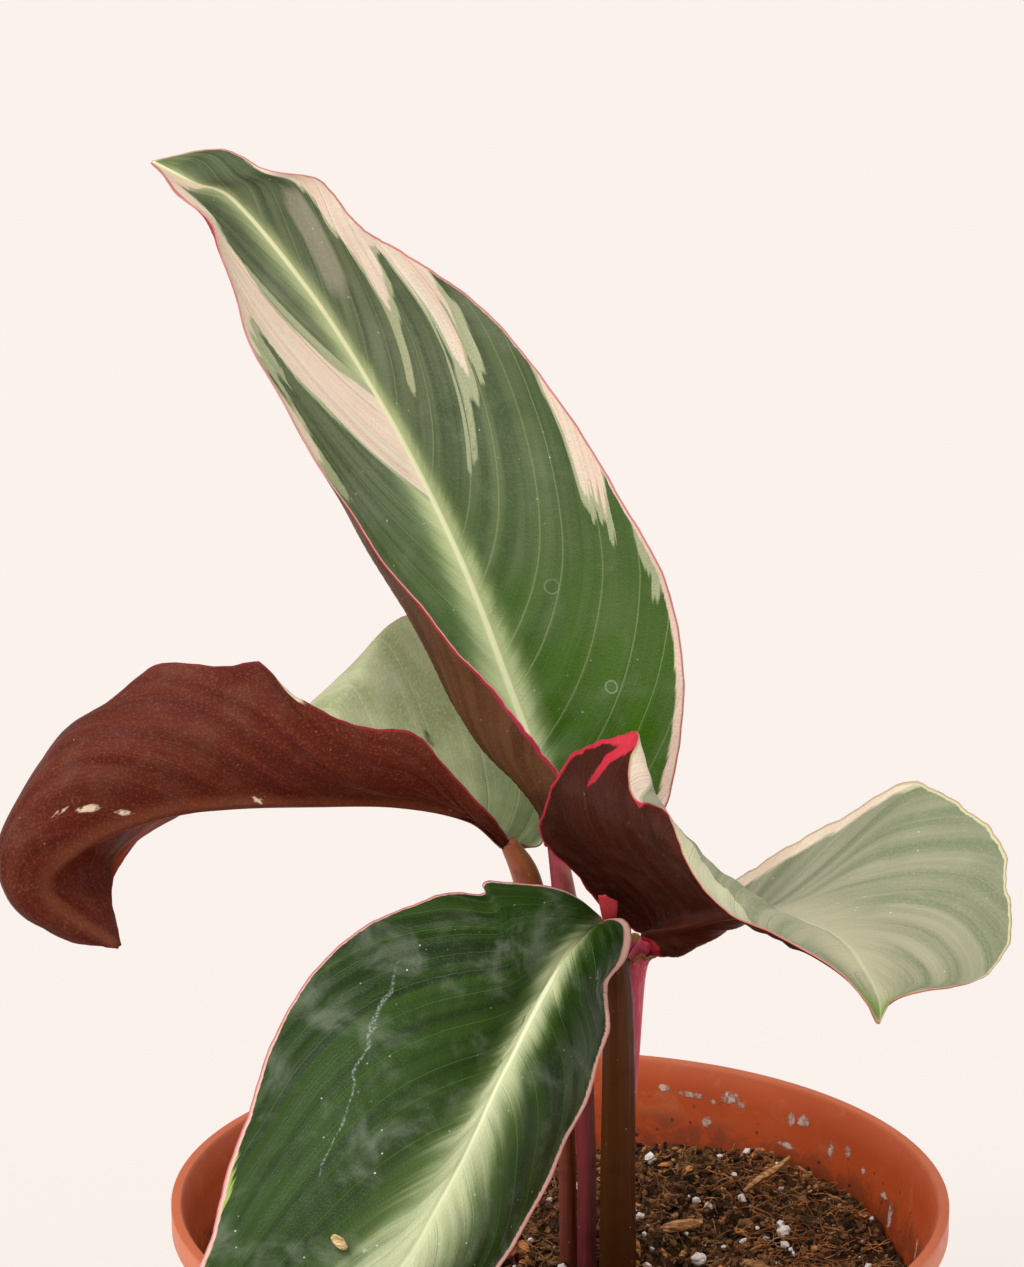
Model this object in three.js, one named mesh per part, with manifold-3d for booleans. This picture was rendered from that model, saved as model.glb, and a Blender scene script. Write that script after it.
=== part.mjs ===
// Young Stromanthe 'Triostar' with four leaves, standing in a round 12 cm nursery pot.
// Units are millimetres and +Z is up. The origin is the centre of the pot's underside.

import * as THREE from 'three';
import { mergeVertices } from 'three/addons/utils/BufferGeometryUtils.js';
import Module from 'manifold-3d';

const wasm = await Module();
wasm.setup();

// ---- driving dimensions ---------------------------------------------------------

const GAP = 0.3; // clearance between pieces that touch on the real plant
const POT_HEIGHT = 95;
const POT_RIM_RADIUS = 60;
const POT_FOOT_RADIUS = 41;
const POT_SEGMENTS = 48;
const DRAIN_HOLES = 6;
const DRAIN_HOLE_RADIUS = 3.5;
const DRAIN_RING_RADIUS = 21;
const MIX_LEVEL = 79; // height of the potting mix beside the stems
const MIX_RADIUS = 54.9;
const HEAP_HEIGHT = 5; // the mix lies higher against the wall behind the plant
const HEAP_DIRECTION = [0.5, 0.86]; // it rises to the back and a little to the right
const MIX_RIPPLE = 0.5;
const MIX_SHOULDER_RADIUS = 45; // from here out the heap dies away towards the wall
const BLADE_THICKNESS = 0.7;
const BLADE_TRIM = 0.012; // share of the blade's length left off at each pointed end
const BLADE_ROWS = 22;
const BLADE_COLUMNS = 10;
const KEEL_DEPTH = 1.6; // how far the midrib stands out under the blade at its base
const STEM_SIDES = 10;
const STEM_STEPS = 14;
const SHEATH_THICKNESS = 0.5;

// Each blade is given by three rails from its base to its tip: the midrib and the two
// margins. A margin starts and ends on the midrib. The sag lists say how far each half
// bows away from the straight line between midrib and margin, positive to the upper face.
const BLADES = {
  blade_upright: {
    rows: BLADE_ROWS,
    midrib: [
      [-0.5, 3, 149], [-3, 7, 160], [-8, 10, 174], [-14, 11, 190], [-21, 11, 205.5],
      [-29, 10, 220.5], [-37.5, 7, 234.5], [-48, 4, 248], [-54, 1, 251], [-59.5, 0, 254],
    ],
    left: [
      [1.5, -3, 159], [-3.5, -5, 167.5], [-10.5, -7, 177], [-19.5, -7, 187.5],
      [-28.5, -5, 199], [-36, -4, 210.5], [-44.5, -3, 225.5], [-48.5, -2, 237],
      [-51, -1, 244.5], [-56.5, 0, 250],
    ],
    right: [
      [6, 8, 148.5], [15, 6, 153], [18.5, 3, 171], [16, 2, 190], [8, 2, 205],
      [-2.5, 3, 221.5], [-14, 4, 234], [-24, 4, 240.5], [-30, 4, 244.5], [-35.5, 3, 251],
      [-43, 2, 252.5], [-49.5, 2, 255.5],
    ],
    sagLeft: [0, -5, -8, -7, -6, -4, -3, -2, -1, 0],
    sagRight: [0, -3, -2, -1, 0, 0, 0, 0, 0, 0],
  },
  blade_left: {
    rows: BLADE_ROWS,
    midrib: [
      [-7.5, 4, 150], [-13.5, 3, 155], [-24.5, 2, 157.5], [-38, 0, 158], [-50, -2, 158],
      [-61.5, -4, 156.5], [-72.5, -7, 152], [-76.5, -9, 146], [-66, -8, 137],
    ],
    left: [
      [-11, -4, 157], [-18, -5, 165.5], [-22.5, -5, 170], [-31, -5, 171], [-39, -4, 175],
      [-44.5, -3, 179], [-52.5, 2, 178.5], [-62, 6, 176.5], [-70.5, 7, 170.5],
      [-77, 6, 165.5], [-81.5, 2, 158.5], [-85, -4, 150.5], [-82, -8, 143.5],
      [-73, -9, 138.5],
    ],
    right: [
      [-2.5, 12, 148], [0, 20, 158.5], [-9.5, 24, 172.5], [-22.5, 22, 181.5],
      [-32.5, 20, 173.5], [-46.5, 17, 161.5], [-57, 12, 154.5], [-65, 6, 149],
      [-68, 0, 144.5],
    ],
    sagLeft: [0, -2, -3, -4, -4, -6, -7, -5, -2, 0],
    sagRight: [0, -3, -5, -5, -4, -3, -2, -1, 0, 0],
  },
  blade_right: {
    rows: BLADE_ROWS + 10,
    midrib: [
      [13.5, 3, 135], [17, -4, 139], [20.5, -12, 143], [23, -21, 147], [26, -32, 151],
      [29.5, -44, 154.5], [32.5, -54, 156.5], [35.5, -62, 157.5], [37.5, -69, 157.5],
      [39, -74, 156], [40, -78, 154], [40, -80, 151.5],
    ],
    left: [
      [15, 5, 132], [18, 8, 132.5], [20.5, 10, 135.5], [23, 9, 139], [26, 6, 142.5],
      [30, 0, 147.5], [36, -9, 154.5], [42, -18, 161.5], [48.5, -28, 168.5],
      [54, -36, 169], [58, -44, 167.5], [60, -51, 164.5], [60, -58, 160.5],
      [58, -65, 156], [53.5, -70, 153.5], [46.5, -75, 154.5], [42, -78, 154],
    ],
    right: [
      [10.5, 5, 136], [6, 4, 140], [1, 1, 147], [-3, -4, 154], [-2, -8, 161.5],
      [1.5, -13, 168.5], [6, -18, 172.5], [10.5, -23, 174.5], [9, -31, 172],
      [10, -37, 169], [13.5, -42, 169], [15.5, -49, 166.5], [18, -57, 163],
      [21.5, -64, 161], [27, -71, 161], [33, -77, 159], [37.5, -80, 155.5],
    ],
    sagLeft: [0, -3, -4, -4, -3, -2, -1, 0, 0, 0],
    sagRight: [0, 2, 1, -3, -4, -2, -1, 0, 0],
  },
  blade_front: {
    rows: BLADE_ROWS,
    midrib: [
      [6.5, -4, 140], [1, -13, 138], [-4.5, -22, 133], [-9.5, -31, 127],
      [-14.5, -41, 121.5], [-20, -50, 115], [-26, -60, 109], [-38, -74, 98.5],
      [-48, -87, 85.5], [-56, -97, 70],
    ],
    left: [
      [10, -6, 139.5], [8.5, -8, 135], [6, -10, 132], [6.5, -13, 129], [5.5, -17, 124.5],
      [2.5, -24, 118.5], [-1.5, -31, 112.5], [-5, -38, 107.5], [-10, -47, 103],
      [-18, -62, 94], [-32, -80, 82], [-46, -92, 72],
    ],
    right: [
      [2.5, -4, 143.5], [-4, -5, 146], [-11, -7, 147], [-12, -9, 146], [-19, -11, 146],
      [-28, -14, 143], [-36.5, -20, 137.5], [-42, -28, 129.5], [-45.5, -37, 121],
      [-48.5, -46, 113], [-51.5, -56, 105], [-62, -70, 93], [-64, -82, 80],
      [-60, -93, 71],
    ],
    sagLeft: [0, 2, 3, 3, 3, 3, 3, 2, 1, 0],
    sagRight: [0, 2, 3, 3, 3, 3, 2, 2, 1, 0],
  },
};

// Leaf stalks from below the mix to the blade they carry, with their radius at each point.
const PETIOLES = {
  petiole_front: {
    points: [[8, 0, 56], [9, 0, 79], [9, 0.5, 98], [9, 0.5, 116], [8.5, 0, 130], [7.2, -2.7, 139.8]],
    radii: [2.9, 2.9, 2.7, 2.5, 2.2, 1.6],
  },
  petiole_upright: {
    points: [
      [5, 3, 56], [4.4, 3.4, 79], [4.2, 4, 98], [3.2, 4.6, 120], [1.2, 4.6, 137],
      [-0.4, 3.2, 148],
    ],
    radii: [1.5, 1.5, 1.5, 1.6, 1.9, 1.7],
  },
  petiole_left: {
    points: [
      [2.5, 6, 56], [1.6, 6.2, 79], [1.2, 7, 98], [0, 7.6, 116], [-3.2, 6.4, 134],
      [-5.2, 5, 144], [-7.4, 4.2, 149.2],
    ],
    radii: [1.4, 1.4, 1.4, 1.7, 2.1, 2.1, 1.6],
  },
  petiole_right: {
    points: [
      [9, 6.5, 56], [9, 6.8, 79], [9.1, 6.8, 98], [9.6, 6.6, 114], [10.8, 5.8, 127],
      [12.7, 3.8, 133.4],
    ],
    radii: [1.6, 1.6, 1.6, 1.6, 1.7, 1.7],
  },
};

const BLADE_OF = {
  petiole_front: 'blade_front',
  petiole_upright: 'blade_upright',
  petiole_left: 'blade_left',
  petiole_right: 'blade_right',
};

// The sheath is an open tube around the stalk of the right-hand leaf.
const SHEATH_START = 0.5; // share of the stalk's length where the sheath starts
const SHEATH_END = 0.92;
const SHEATH_HALF_ANGLE = (150 * Math.PI) / 180;
const SHEATH_FLARE = 0.7; // how far the torn collar stands off at the top
const SHEATH_ROWS = 10;
const SHEATH_COLUMNS = 14;

const SHOOT = {
  points: [[7.2, -2.8, 141], [6.9, -3.8, 142.2], [7, -4.6, 143.2], [7.9, -5.2, 143.8]],
  radii: [1.1, 1.4, 1.4, 0.8],
};

// Loose grains on the mix: place in plan, half sizes and turn about the vertical.
const GRAINS = {
  bark_chip_back: { at: [20, 17], half: [3.6, 1.5, 0.9], turn: 0.4, color: '#c9a06c' },
  bark_chip_side: { at: [31, 2], half: [3.2, 1.2, 0.8], turn: -0.7, color: '#a9794c' },
  bark_chip_near: { at: [22, -18], half: [2.8, 1.4, 0.9], turn: 1.2, color: '#8a5d3a' },
  bark_chip_left: { at: [-9, 9], half: [2.3, 1.3, 0.9], turn: 0.2, color: '#b56f50' },
  perlite_grain_1: { at: [22, 6], half: [1.3, 1.1, 1], turn: 0.5, color: '#ece8de' },
  perlite_grain_2: { at: [17.5, -4], half: [1.5, 1.2, 1], turn: 1.1, color: '#ece8de' },
  perlite_grain_3: { at: [-13, 3], half: [1.3, 1.2, 1], turn: 0, color: '#ece8de' },
  perlite_grain_4: { at: [36, 14], half: [1.2, 1, 0.9], turn: 0.9, color: '#ece8de' },
};

const LEAF_CHIP = { at: [-31.2, -58.9, 112], half: [2.2, 1.1, 0.7], color: '#d8c08c' };

const COLORS = {
  pot: '#b9532c',
  potting_mix: '#35261c',
  blade_upright: '#43663a',
  blade_left: '#5a2a24',
  blade_right: '#7f9276',
  blade_front: '#35562f',
  petiole_front: '#5f3d1f',
  petiole_upright: '#74323a',
  petiole_left: '#9a5a4c',
  petiole_right: '#8f3c44',
  sheath_right: '#b4454f',
  young_shoot: '#b13344',
};

// ---- helpers --------------------------------------------------------------------

const vector = ([x, y, z]) => new THREE.Vector3(x, y, z);

const rail = (points) => new THREE.CatmullRomCurve3(points.map(vector), false, 'catmullrom', 0.5);

const course = (values) => rail(values.map((value) => [value, 0, 0]));

function toSolid(geometry) {
  const plain = new THREE.BufferGeometry();
  plain.setAttribute('position', geometry.getAttribute('position').clone());
  if (geometry.index) plain.setIndex(geometry.index.clone());
  const merged = mergeVertices(plain, 1e-4);
  const mesh = new wasm.Mesh({
    numProp: 3,
    vertProperties: new Float32Array(merged.getAttribute('position').array),
    triVerts: new Uint32Array(merged.index.array),
  });
  return new wasm.Manifold(mesh);
}

function toGeometry(solid) {
  const mesh = solid.getMesh();
  const geometry = new THREE.BufferGeometry();
  geometry.setAttribute('position', new THREE.BufferAttribute(mesh.vertProperties, 3));
  geometry.setIndex(new THREE.BufferAttribute(mesh.triVerts, 1));
  geometry.computeVertexNormals();
  return geometry;
}

function indexed(points, triangles) {
  const geometry = new THREE.BufferGeometry();
  geometry.setAttribute(
    'position',
    new THREE.Float32BufferAttribute(points.flatMap((point) => point.toArray()), 3),
  );
  geometry.setIndex(triangles.flat());
  geometry.computeVertexNormals();
  return geometry;
}

// A closed sheet between two grids of points. Its outside is on the side of `upper`.
function sheet(upper, lower) {
  const rows = upper.length;
  const columns = upper[0].length;
  const points = [...upper.flat(), ...lower.flat()];
  const top = (i, j) => i * columns + j;
  const under = (i, j) => rows * columns + top(i, j);
  const triangles = [];
  for (let i = 0; i < rows - 1; i += 1) {
    for (let j = 0; j < columns - 1; j += 1) {
      triangles.push([top(i, j), top(i, j + 1), top(i + 1, j + 1)]);
      triangles.push([top(i, j), top(i + 1, j + 1), top(i + 1, j)]);
      triangles.push([under(i, j), under(i + 1, j + 1), under(i, j + 1)]);
      triangles.push([under(i, j), under(i + 1, j), under(i + 1, j + 1)]);
    }
  }
  const loop = [];
  for (let j = 0; j < columns - 1; j += 1) loop.push([0, j]);
  for (let i = 0; i < rows - 1; i += 1) loop.push([i, columns - 1]);
  for (let j = columns - 1; j > 0; j -= 1) loop.push([rows - 1, j]);
  for (let i = rows - 1; i > 0; i -= 1) loop.push([i, 0]);
  loop.forEach((here, k) => {
    const next = loop[(k + 1) % loop.length];
    triangles.push([top(...next), top(...here), under(...here)]);
    triangles.push([top(...next), under(...here), under(...next)]);
  });
  return indexed(points, triangles);
}

// A round stalk along a curve, closed at both ends. `extra` is added to its radius.
function stalk({ points, radii }, steps, extra = 0) {
  const path = rail(points);
  const girth = course(radii);
  const frames = path.computeFrenetFrames(steps, false);
  const vertices = [];
  const triangles = [];
  for (let i = 0; i <= steps; i += 1) {
    const centre = path.getPointAt(i / steps);
    const radius = girth.getPoint(path.getUtoTmapping(i / steps)).x + extra;
    for (let k = 0; k < STEM_SIDES; k += 1) {
      const angle = (2 * Math.PI * k) / STEM_SIDES;
      const out = frames.normals[i].clone().multiplyScalar(Math.cos(angle));
      out.addScaledVector(frames.binormals[i], Math.sin(angle));
      vertices.push(centre.clone().addScaledVector(out, radius));
    }
  }
  for (let i = 0; i < steps; i += 1) {
    for (let k = 0; k < STEM_SIDES; k += 1) {
      const a = i * STEM_SIDES + k;
      const b = i * STEM_SIDES + ((k + 1) % STEM_SIDES);
      triangles.push([a, b, b + STEM_SIDES], [a, b + STEM_SIDES, a + STEM_SIDES]);
    }
  }
  const last = steps * STEM_SIDES;
  for (let k = 1; k < STEM_SIDES - 1; k += 1) {
    triangles.push([0, k + 1, k], [last, last + k, last + k + 1]);
  }
  return indexed(vertices, triangles);
}

// ---- leaf blades ----------------------------------------------------------------

function bladeSurface(blade) {
  const first = blade.midrib[0];
  const final = blade.midrib[blade.midrib.length - 1];
  const midrib = rail(blade.midrib);
  const margins = [rail([first, ...blade.left, final]), rail([first, ...blade.right, final])];
  const sags = [course(blade.sagLeft), course(blade.sagRight)];
  return (t, v) => {
    const side = v < 0 ? 0 : 1;
    const share = Math.abs(v);
    const spine = midrib.getPoint(t);
    const edge = margins[side].getPoint(t);
    const across = edge.clone().sub(spine);
    const along = midrib.getTangent(t);
    const up = side === 0 ? along.clone().cross(across) : across.clone().cross(along);
    up.normalize();
    const bow = 4 * share * (1 - share) * sags[side].getPoint(t).x;
    return spine.addScaledVector(across, share).addScaledVector(up, bow);
  };
}

function bladeGeometry(blade, extra = 0) {
  const surface = bladeSurface(blade);
  const step = 0.002;
  const upper = [];
  const lower = [];
  for (let i = 0; i <= blade.rows; i += 1) {
    const t = BLADE_TRIM + ((1 - 2 * BLADE_TRIM) * i) / blade.rows;
    const upperRow = [];
    const lowerRow = [];
    for (let j = 0; j <= BLADE_COLUMNS; j += 1) {
      const v = (2 * j) / BLADE_COLUMNS - 1;
      const point = surface(t, v);
      const right = surface(t, Math.min(v + step, 1)).sub(surface(t, Math.max(v - step, -1)));
      const ahead = surface(t + step, v).sub(surface(t - step, v));
      const normal = right.cross(ahead).normalize();
      const keel = v === 0 ? KEEL_DEPTH * (1 - t) : 0;
      const half = BLADE_THICKNESS / 2 + extra;
      upperRow.push(point.clone().addScaledVector(normal, half));
      lowerRow.push(point.clone().addScaledVector(normal, -half - keel));
    }
    upper.push(upperRow);
    lower.push(lowerRow);
  }
  return sheet(upper, lower);
}

// ---- pot and potting mix --------------------------------------------------------

function turned(profile) {
  const outline = profile.map(([radius, height]) => new THREE.Vector2(radius, height));
  return new THREE.LatheGeometry(outline, POT_SEGMENTS).rotateX(Math.PI / 2);
}

// Profile of the wall from the centre of the underside, up the outside to the flat lip and
// down the inside. The floor is raised in a ring, so that the drain holes clear the ground.
function potGeometry() {
  const shell = toSolid(
    turned([
      [0, 0],
      [12, 0],
      [13, 2.4],
      [29, 2.4],
      [30, 0],
      [POT_FOOT_RADIUS, 0],
      [POT_FOOT_RADIUS + 1, 1],
      [53.5, 71.2],
      [55.7, 72.7],
      [57.4, 90.4],
      [POT_RIM_RADIUS, 91],
      [POT_RIM_RADIUS, POT_HEIGHT - 0.5],
      [POT_RIM_RADIUS - 0.5, POT_HEIGHT],
      [57.8, POT_HEIGHT],
      [57.3, POT_HEIGHT - 0.5],
      [56.5, 90.2],
      [54.7, 73.5],
      [52.5, 72],
      [41.2, 1.4],
      [30.6, 1.4],
      [29.6, 3.8],
      [12.4, 3.8],
      [11.4, 1.4],
      [0, 1.4],
    ]),
  );
  const drill = new THREE.CylinderGeometry(DRAIN_HOLE_RADIUS, DRAIN_HOLE_RADIUS, 10, 20);
  drill.rotateX(Math.PI / 2);
  let pot = shell;
  for (let k = 0; k < DRAIN_HOLES; k += 1) {
    const angle = (2 * Math.PI * k) / DRAIN_HOLES;
    const x = DRAIN_RING_RADIUS * Math.cos(angle);
    const y = DRAIN_RING_RADIUS * Math.sin(angle);
    pot = pot.subtract(toSolid(drill).translate([x, y, 3]));
  }
  return toGeometry(pot);
}

// Height of the mix over the plan: level by the stems, heaped behind and to the right.
function mixHeight(x, y) {
  const lean = (HEAP_DIRECTION[0] * x + HEAP_DIRECTION[1] * y) / MIX_RADIUS;
  const ripple = MIX_RIPPLE * Math.sin(0.21 * x + 1.3) * Math.cos(0.17 * y);
  return MIX_LEVEL + HEAP_HEIGHT * Math.max(0, lean) ** 2 + ripple;
}

function mixGeometry() {
  const geometry = turned([
    [0, 4.3],
    [40.9, 4.3],
    [52, 72.3],
    [54.3, 74],
    [MIX_RADIUS - 0.3, MIX_LEVEL - 2],
    [MIX_RADIUS, MIX_LEVEL],
    [MIX_SHOULDER_RADIUS, MIX_LEVEL],
    [36, MIX_LEVEL],
    [27, MIX_LEVEL],
    [18, MIX_LEVEL],
    [9, MIX_LEVEL],
    [0, MIX_LEVEL],
  ]);
  const position = geometry.getAttribute('position');
  for (let k = 0; k < position.count; k += 1) {
    if (position.getZ(k) > MIX_LEVEL - 1) {
      const radius = Math.hypot(position.getX(k), position.getY(k));
      const height = mixHeight(position.getX(k), position.getY(k));
      const edge = THREE.MathUtils.smoothstep(radius, MIX_SHOULDER_RADIUS, MIX_RADIUS);
      position.setZ(k, THREE.MathUtils.lerp(height, MIX_LEVEL, edge));
    }
  }
  let mix = toSolid(geometry);
  for (const petiole of Object.values(PETIOLES)) {
    mix = mix.subtract(toSolid(stalk(petiole, STEM_STEPS, GAP)));
  }
  return toGeometry(mix);
}

// ---- stalks, sheath, shoot and grains -------------------------------------------

function petioleGeometry(name) {
  const blade = BLADES[BLADE_OF[name]];
  const clearance = toSolid(bladeGeometry(blade, 2 * GAP));
  return toGeometry(toSolid(stalk(PETIOLES[name], STEM_STEPS)).subtract(clearance));
}

function sheathGeometry() {
  const { points, radii } = PETIOLES.petiole_right;
  const path = rail(points);
  const girth = course(radii);
  const frames = path.computeFrenetFrames(SHEATH_ROWS * 4, false);
  const inner = [];
  const outer = [];
  for (let i = 0; i <= SHEATH_ROWS; i += 1) {
    const share = i / SHEATH_ROWS;
    const u = THREE.MathUtils.lerp(SHEATH_START, SHEATH_END, share);
    const frame = Math.round(u * SHEATH_ROWS * 4);
    const centre = path.getPointAt(u);
    const flare = SHEATH_FLARE * share ** 6;
    const radius = girth.getPoint(path.getUtoTmapping(u)).x + GAP + flare;
    const innerRow = [];
    const outerRow = [];
    for (let j = 0; j <= SHEATH_COLUMNS; j += 1) {
      const angle = THREE.MathUtils.lerp(-SHEATH_HALF_ANGLE, SHEATH_HALF_ANGLE, j / SHEATH_COLUMNS);
      const out = frames.normals[frame].clone().multiplyScalar(Math.cos(angle));
      out.addScaledVector(frames.binormals[frame], Math.sin(angle));
      innerRow.push(centre.clone().addScaledVector(out, radius));
      outerRow.push(centre.clone().addScaledVector(out, radius + SHEATH_THICKNESS));
    }
    inner.push(innerRow);
    outer.push(outerRow);
  }
  return sheet(outer, inner);
}

function grainGeometry([a, b, c]) {
  return mergeVertices(new THREE.IcosahedronGeometry(1, 0).scale(a, b, c).deleteAttribute('uv'));
}

// ---- assembly -------------------------------------------------------------------

const plant = new THREE.Group();

function add(name, geometry, color, roughness) {
  const material = new THREE.MeshStandardMaterial({ color, roughness, metalness: 0 });
  const mesh = new THREE.Mesh(geometry, material);
  mesh.name = name;
  plant.add(mesh);
  return mesh;
}

add('pot', potGeometry(), COLORS.pot, 0.5);
add('potting_mix', mixGeometry(), COLORS.potting_mix, 0.95);
for (const [name, blade] of Object.entries(BLADES)) {
  add(name, bladeGeometry(blade), COLORS[name], 0.45);
}
for (const name of Object.keys(PETIOLES)) {
  add(name, petioleGeometry(name), COLORS[name], 0.45);
}
add('sheath_right', sheathGeometry(), COLORS.sheath_right, 0.5);
add('young_shoot', stalk(SHOOT, 8), COLORS.young_shoot, 0.45);
for (const [name, grain] of Object.entries(GRAINS)) {
  const [x, y] = grain.at;
  const mesh = add(name, grainGeometry(grain.half), grain.color, 0.9);
  mesh.position.set(x, y, mixHeight(x, y) + grain.half[2] + GAP);
  mesh.rotation.z = grain.turn;
}
const chip = add('bark_chip_on_leaf', grainGeometry(LEAF_CHIP.half), LEAF_CHIP.color, 0.9);
chip.position.set(...LEAF_CHIP.at);
chip.rotation.set(0.63, 0, 1.9);

export default plant;
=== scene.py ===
"""Young Stromanthe 'Triostar' with four leaves in a round 12 cm nursery pot.

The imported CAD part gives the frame: metres, +Z up, the origin at the centre of the
pot's underside, -Y towards the viewer. Lengths in this file are written in millimetres
and become metres through MM.
"""

import math
import random

import bmesh
import bpy
import numpy as np
from mathutils import Euler, Matrix, Vector, noise


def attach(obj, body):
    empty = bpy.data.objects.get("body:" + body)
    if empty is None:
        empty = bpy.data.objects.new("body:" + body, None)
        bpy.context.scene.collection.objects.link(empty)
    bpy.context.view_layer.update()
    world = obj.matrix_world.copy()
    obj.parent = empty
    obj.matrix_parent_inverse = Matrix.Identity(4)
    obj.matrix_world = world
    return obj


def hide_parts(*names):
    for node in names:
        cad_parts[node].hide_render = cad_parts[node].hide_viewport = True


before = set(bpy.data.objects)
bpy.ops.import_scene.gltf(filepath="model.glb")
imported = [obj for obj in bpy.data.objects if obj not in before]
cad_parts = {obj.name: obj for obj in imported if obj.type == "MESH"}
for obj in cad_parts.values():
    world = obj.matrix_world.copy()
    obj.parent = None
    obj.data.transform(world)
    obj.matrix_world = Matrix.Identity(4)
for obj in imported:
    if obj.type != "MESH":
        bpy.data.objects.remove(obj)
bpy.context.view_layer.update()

# ---- sizes ------------------------------------------------------------------------

MM = 0.001
FULL_TURN = 2 * math.pi

CELL = 0.72  # length of a face on the leaves
COLUMNS = 92  # faces across a leaf
CROWDING = 0.6  # share by which they stand closer at the midrib and at the margins
BLADE_TRIM = 0.012  # share of a leaf's length left off at its base
TIP_TRIM = 0.005
KEEL_DEPTH = 1.6  # how far the midrib stands out under the base of a leaf
GROOVE_DEPTH = 0.14
HALF_THICKNESS = 0.26  # half the thickness of a leaf beside its midrib
MARGIN_THINNING = 0.16  # and how much less that is at its margin
QUILT = ((0.10, 4.1, 1.5), (0.16, 9.3, 2.5))  # swelling between veins: height, spacing, lag
WAVE_HEIGHT = 0.22
MAP_SHIFT = 40  # keeps the patterns of a leaf's two halves apart
VEIN_SPREAD = 0.5  # distance between two side veins, over that of their starts
PATCH_WIDTH = 0.8  # width that the patches are measured on, over that of a wide half
FAR_OUTSIDE = -20.0  # depth inside a patch where a leaf has none

STALK_SIDES = 40
STALK_STEPS = 90
SHEATH_START = 0.38  # shares of the stalk's length between which the sheath wraps it
SHEATH_END = 0.93
SHEATH_FACING = -12  # degrees from the right-hand side; below zero is towards the viewer
SHEATH_WRAP = 150  # degrees that it reaches round to either side
SHEATH_CLEARANCE = 0.35
SHEATH_THICKNESS = 0.35
SHEATH_FLARE = 2.0
SHEATH_TILT = 1.4  # how far the collar is higher on its left, and lower on its right
SHEATH_SLACK = 0.9  # how far its closed side stands off the stalk
SHEATH_LEAN = (-1.1, 0, 1.1)  # how far its collar stands off the bent stalk
SHOOT_FOOT = (7.2, -3.2, 139.8)
SHOOT_HEAD = (6.9, -4.4, 140.2)
SHOOT_HEIGHT = 4.2
SHOOT_START = -150  # degrees from which its sheet is rolled up, and by how many
SHOOT_ROLL = 500
SHOOT_THICKNESS = 0.25

POT_STEPS = 180  # faces round the pot
POT_WALL_TOP = 90.2  # inside of the wall: height of its top, radius there, and its slope
POT_WALL_RADIUS = 57.0
POT_WALL_SLOPE = 0.138
POT_ROUNDING = 0.35
DRAIN_HOLES = 6
DRAIN_HOLE_RADIUS = 3.5
DRAIN_RING_RADIUS = 21
DRAIN_LEVEL = 3  # middle of the drill that cuts them, and its length
DRAIN_DRILL = 10
# From the centre of the underside, up the outside to the lip and down the inside.
POT_OUTLINE = [
    (0, 0), (12, 0), (13, 2.4), (29, 2.4), (30, 0), (41, 0), (42, 1), (53.5, 71.2),
    (55.7, 72.7), (57.4, 90.4), (60, 91), (60, 95), (58.6, 95), (58.2, 94.6),
    (POT_WALL_RADIUS, POT_WALL_TOP), (54.7, 73.5), (52.5, 72), (41.2, 1.4), (30.6, 1.4),
    (29.6, 3.8), (12.4, 3.8), (11.4, 1.4), (0, 1.4),
]
# Dried lime inside the rim: where it sits round the wall in degrees from the right-hand
# side, its height, and its half width and half height.
LIME_MARKS = [
    (71, 90.6, 1.0, 0.7), (66, 90.1, 2.2, 0.5), (62, 89.5, 0.6, 0.4), (59, 90.8, 1.7, 1.0),
    (57, 90.0, 0.8, 0.6), (63, 86.0, 0.9, 0.8), (44, 90.4, 1.3, 0.9), (46.5, 90.0, 0.8, 1.0),
    (47, 85.4, 1.7, 0.5), (37, 87.4, 0.7, 1.5), (33, 88.5, 0.8, 0.8), (28, 86.8, 0.6, 0.5),
    (21, 85.3, 1.0, 0.6), (18, 83.0, 0.7, 2.3), (3.5, 83.5, 0.5, 2.0), (118, 88, 1.5, 0.8),
    (150, 90, 1.2, 0.7), (205, 87, 0.8, 1.6), (260, 90, 1.8, 0.6), (310, 86, 1.0, 1.2),
]

MIX_LEVEL = 79  # height of the potting mix beside the stalks
MIX_RADIUS = 54.9
MIX_STEPS = 320  # faces round the mix
MIX_RINGS = 90  # and from its middle to the wall
HEAP_HEIGHT = 5  # how far it is heaped up, and to which side
HEAP_DIRECTION = (0.5, 0.86)
HEAP_FADE = 28  # from this radius out it blends into its height along the wall
WALL_SETTLING = 0.6  # how far it stands over its level there
CLIMB_HEIGHT = 4.2  # how far it climbs the wall behind, where, and over how many degrees
CLIMB_ANGLE = 44
CLIMB_SPREAD = 27
CLOD_PITCH = 0.30  # waves a millimetre of the lumps in the bed
CLOD_HEIGHT = 1.7
BED_DROP = 0.9  # how far the bed lies lower than the crumbs that cover it
CRUMB_SWING = 0.9  # how much of the lumps the loose grains follow
GRAIN_SINK = 0.3  # how deep they sit, and how far the CAD part's own grains stand up
GRAIN_RISE = 0.3
BATCH = 100
FIBRE_MARGIN = 4.5  # how far a fibre starts from the wall
FIBRE_LENGTHS = (1.5, 7)
FIBRE_RADII = (0.05, 0.14)
FIBRE_LIFTS = (0.1, 1.3)
ANY_WAY = (0, 6.28)  # turns and tilts, in radians
ANY_TILT = (-0.7, 0.7)
SLOPE_RADII = (36, MIX_RADIUS - 2.5)  # where the mix climbs the wall and dries first
SLOPE_ANGLES = (-20, 50)

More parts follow.
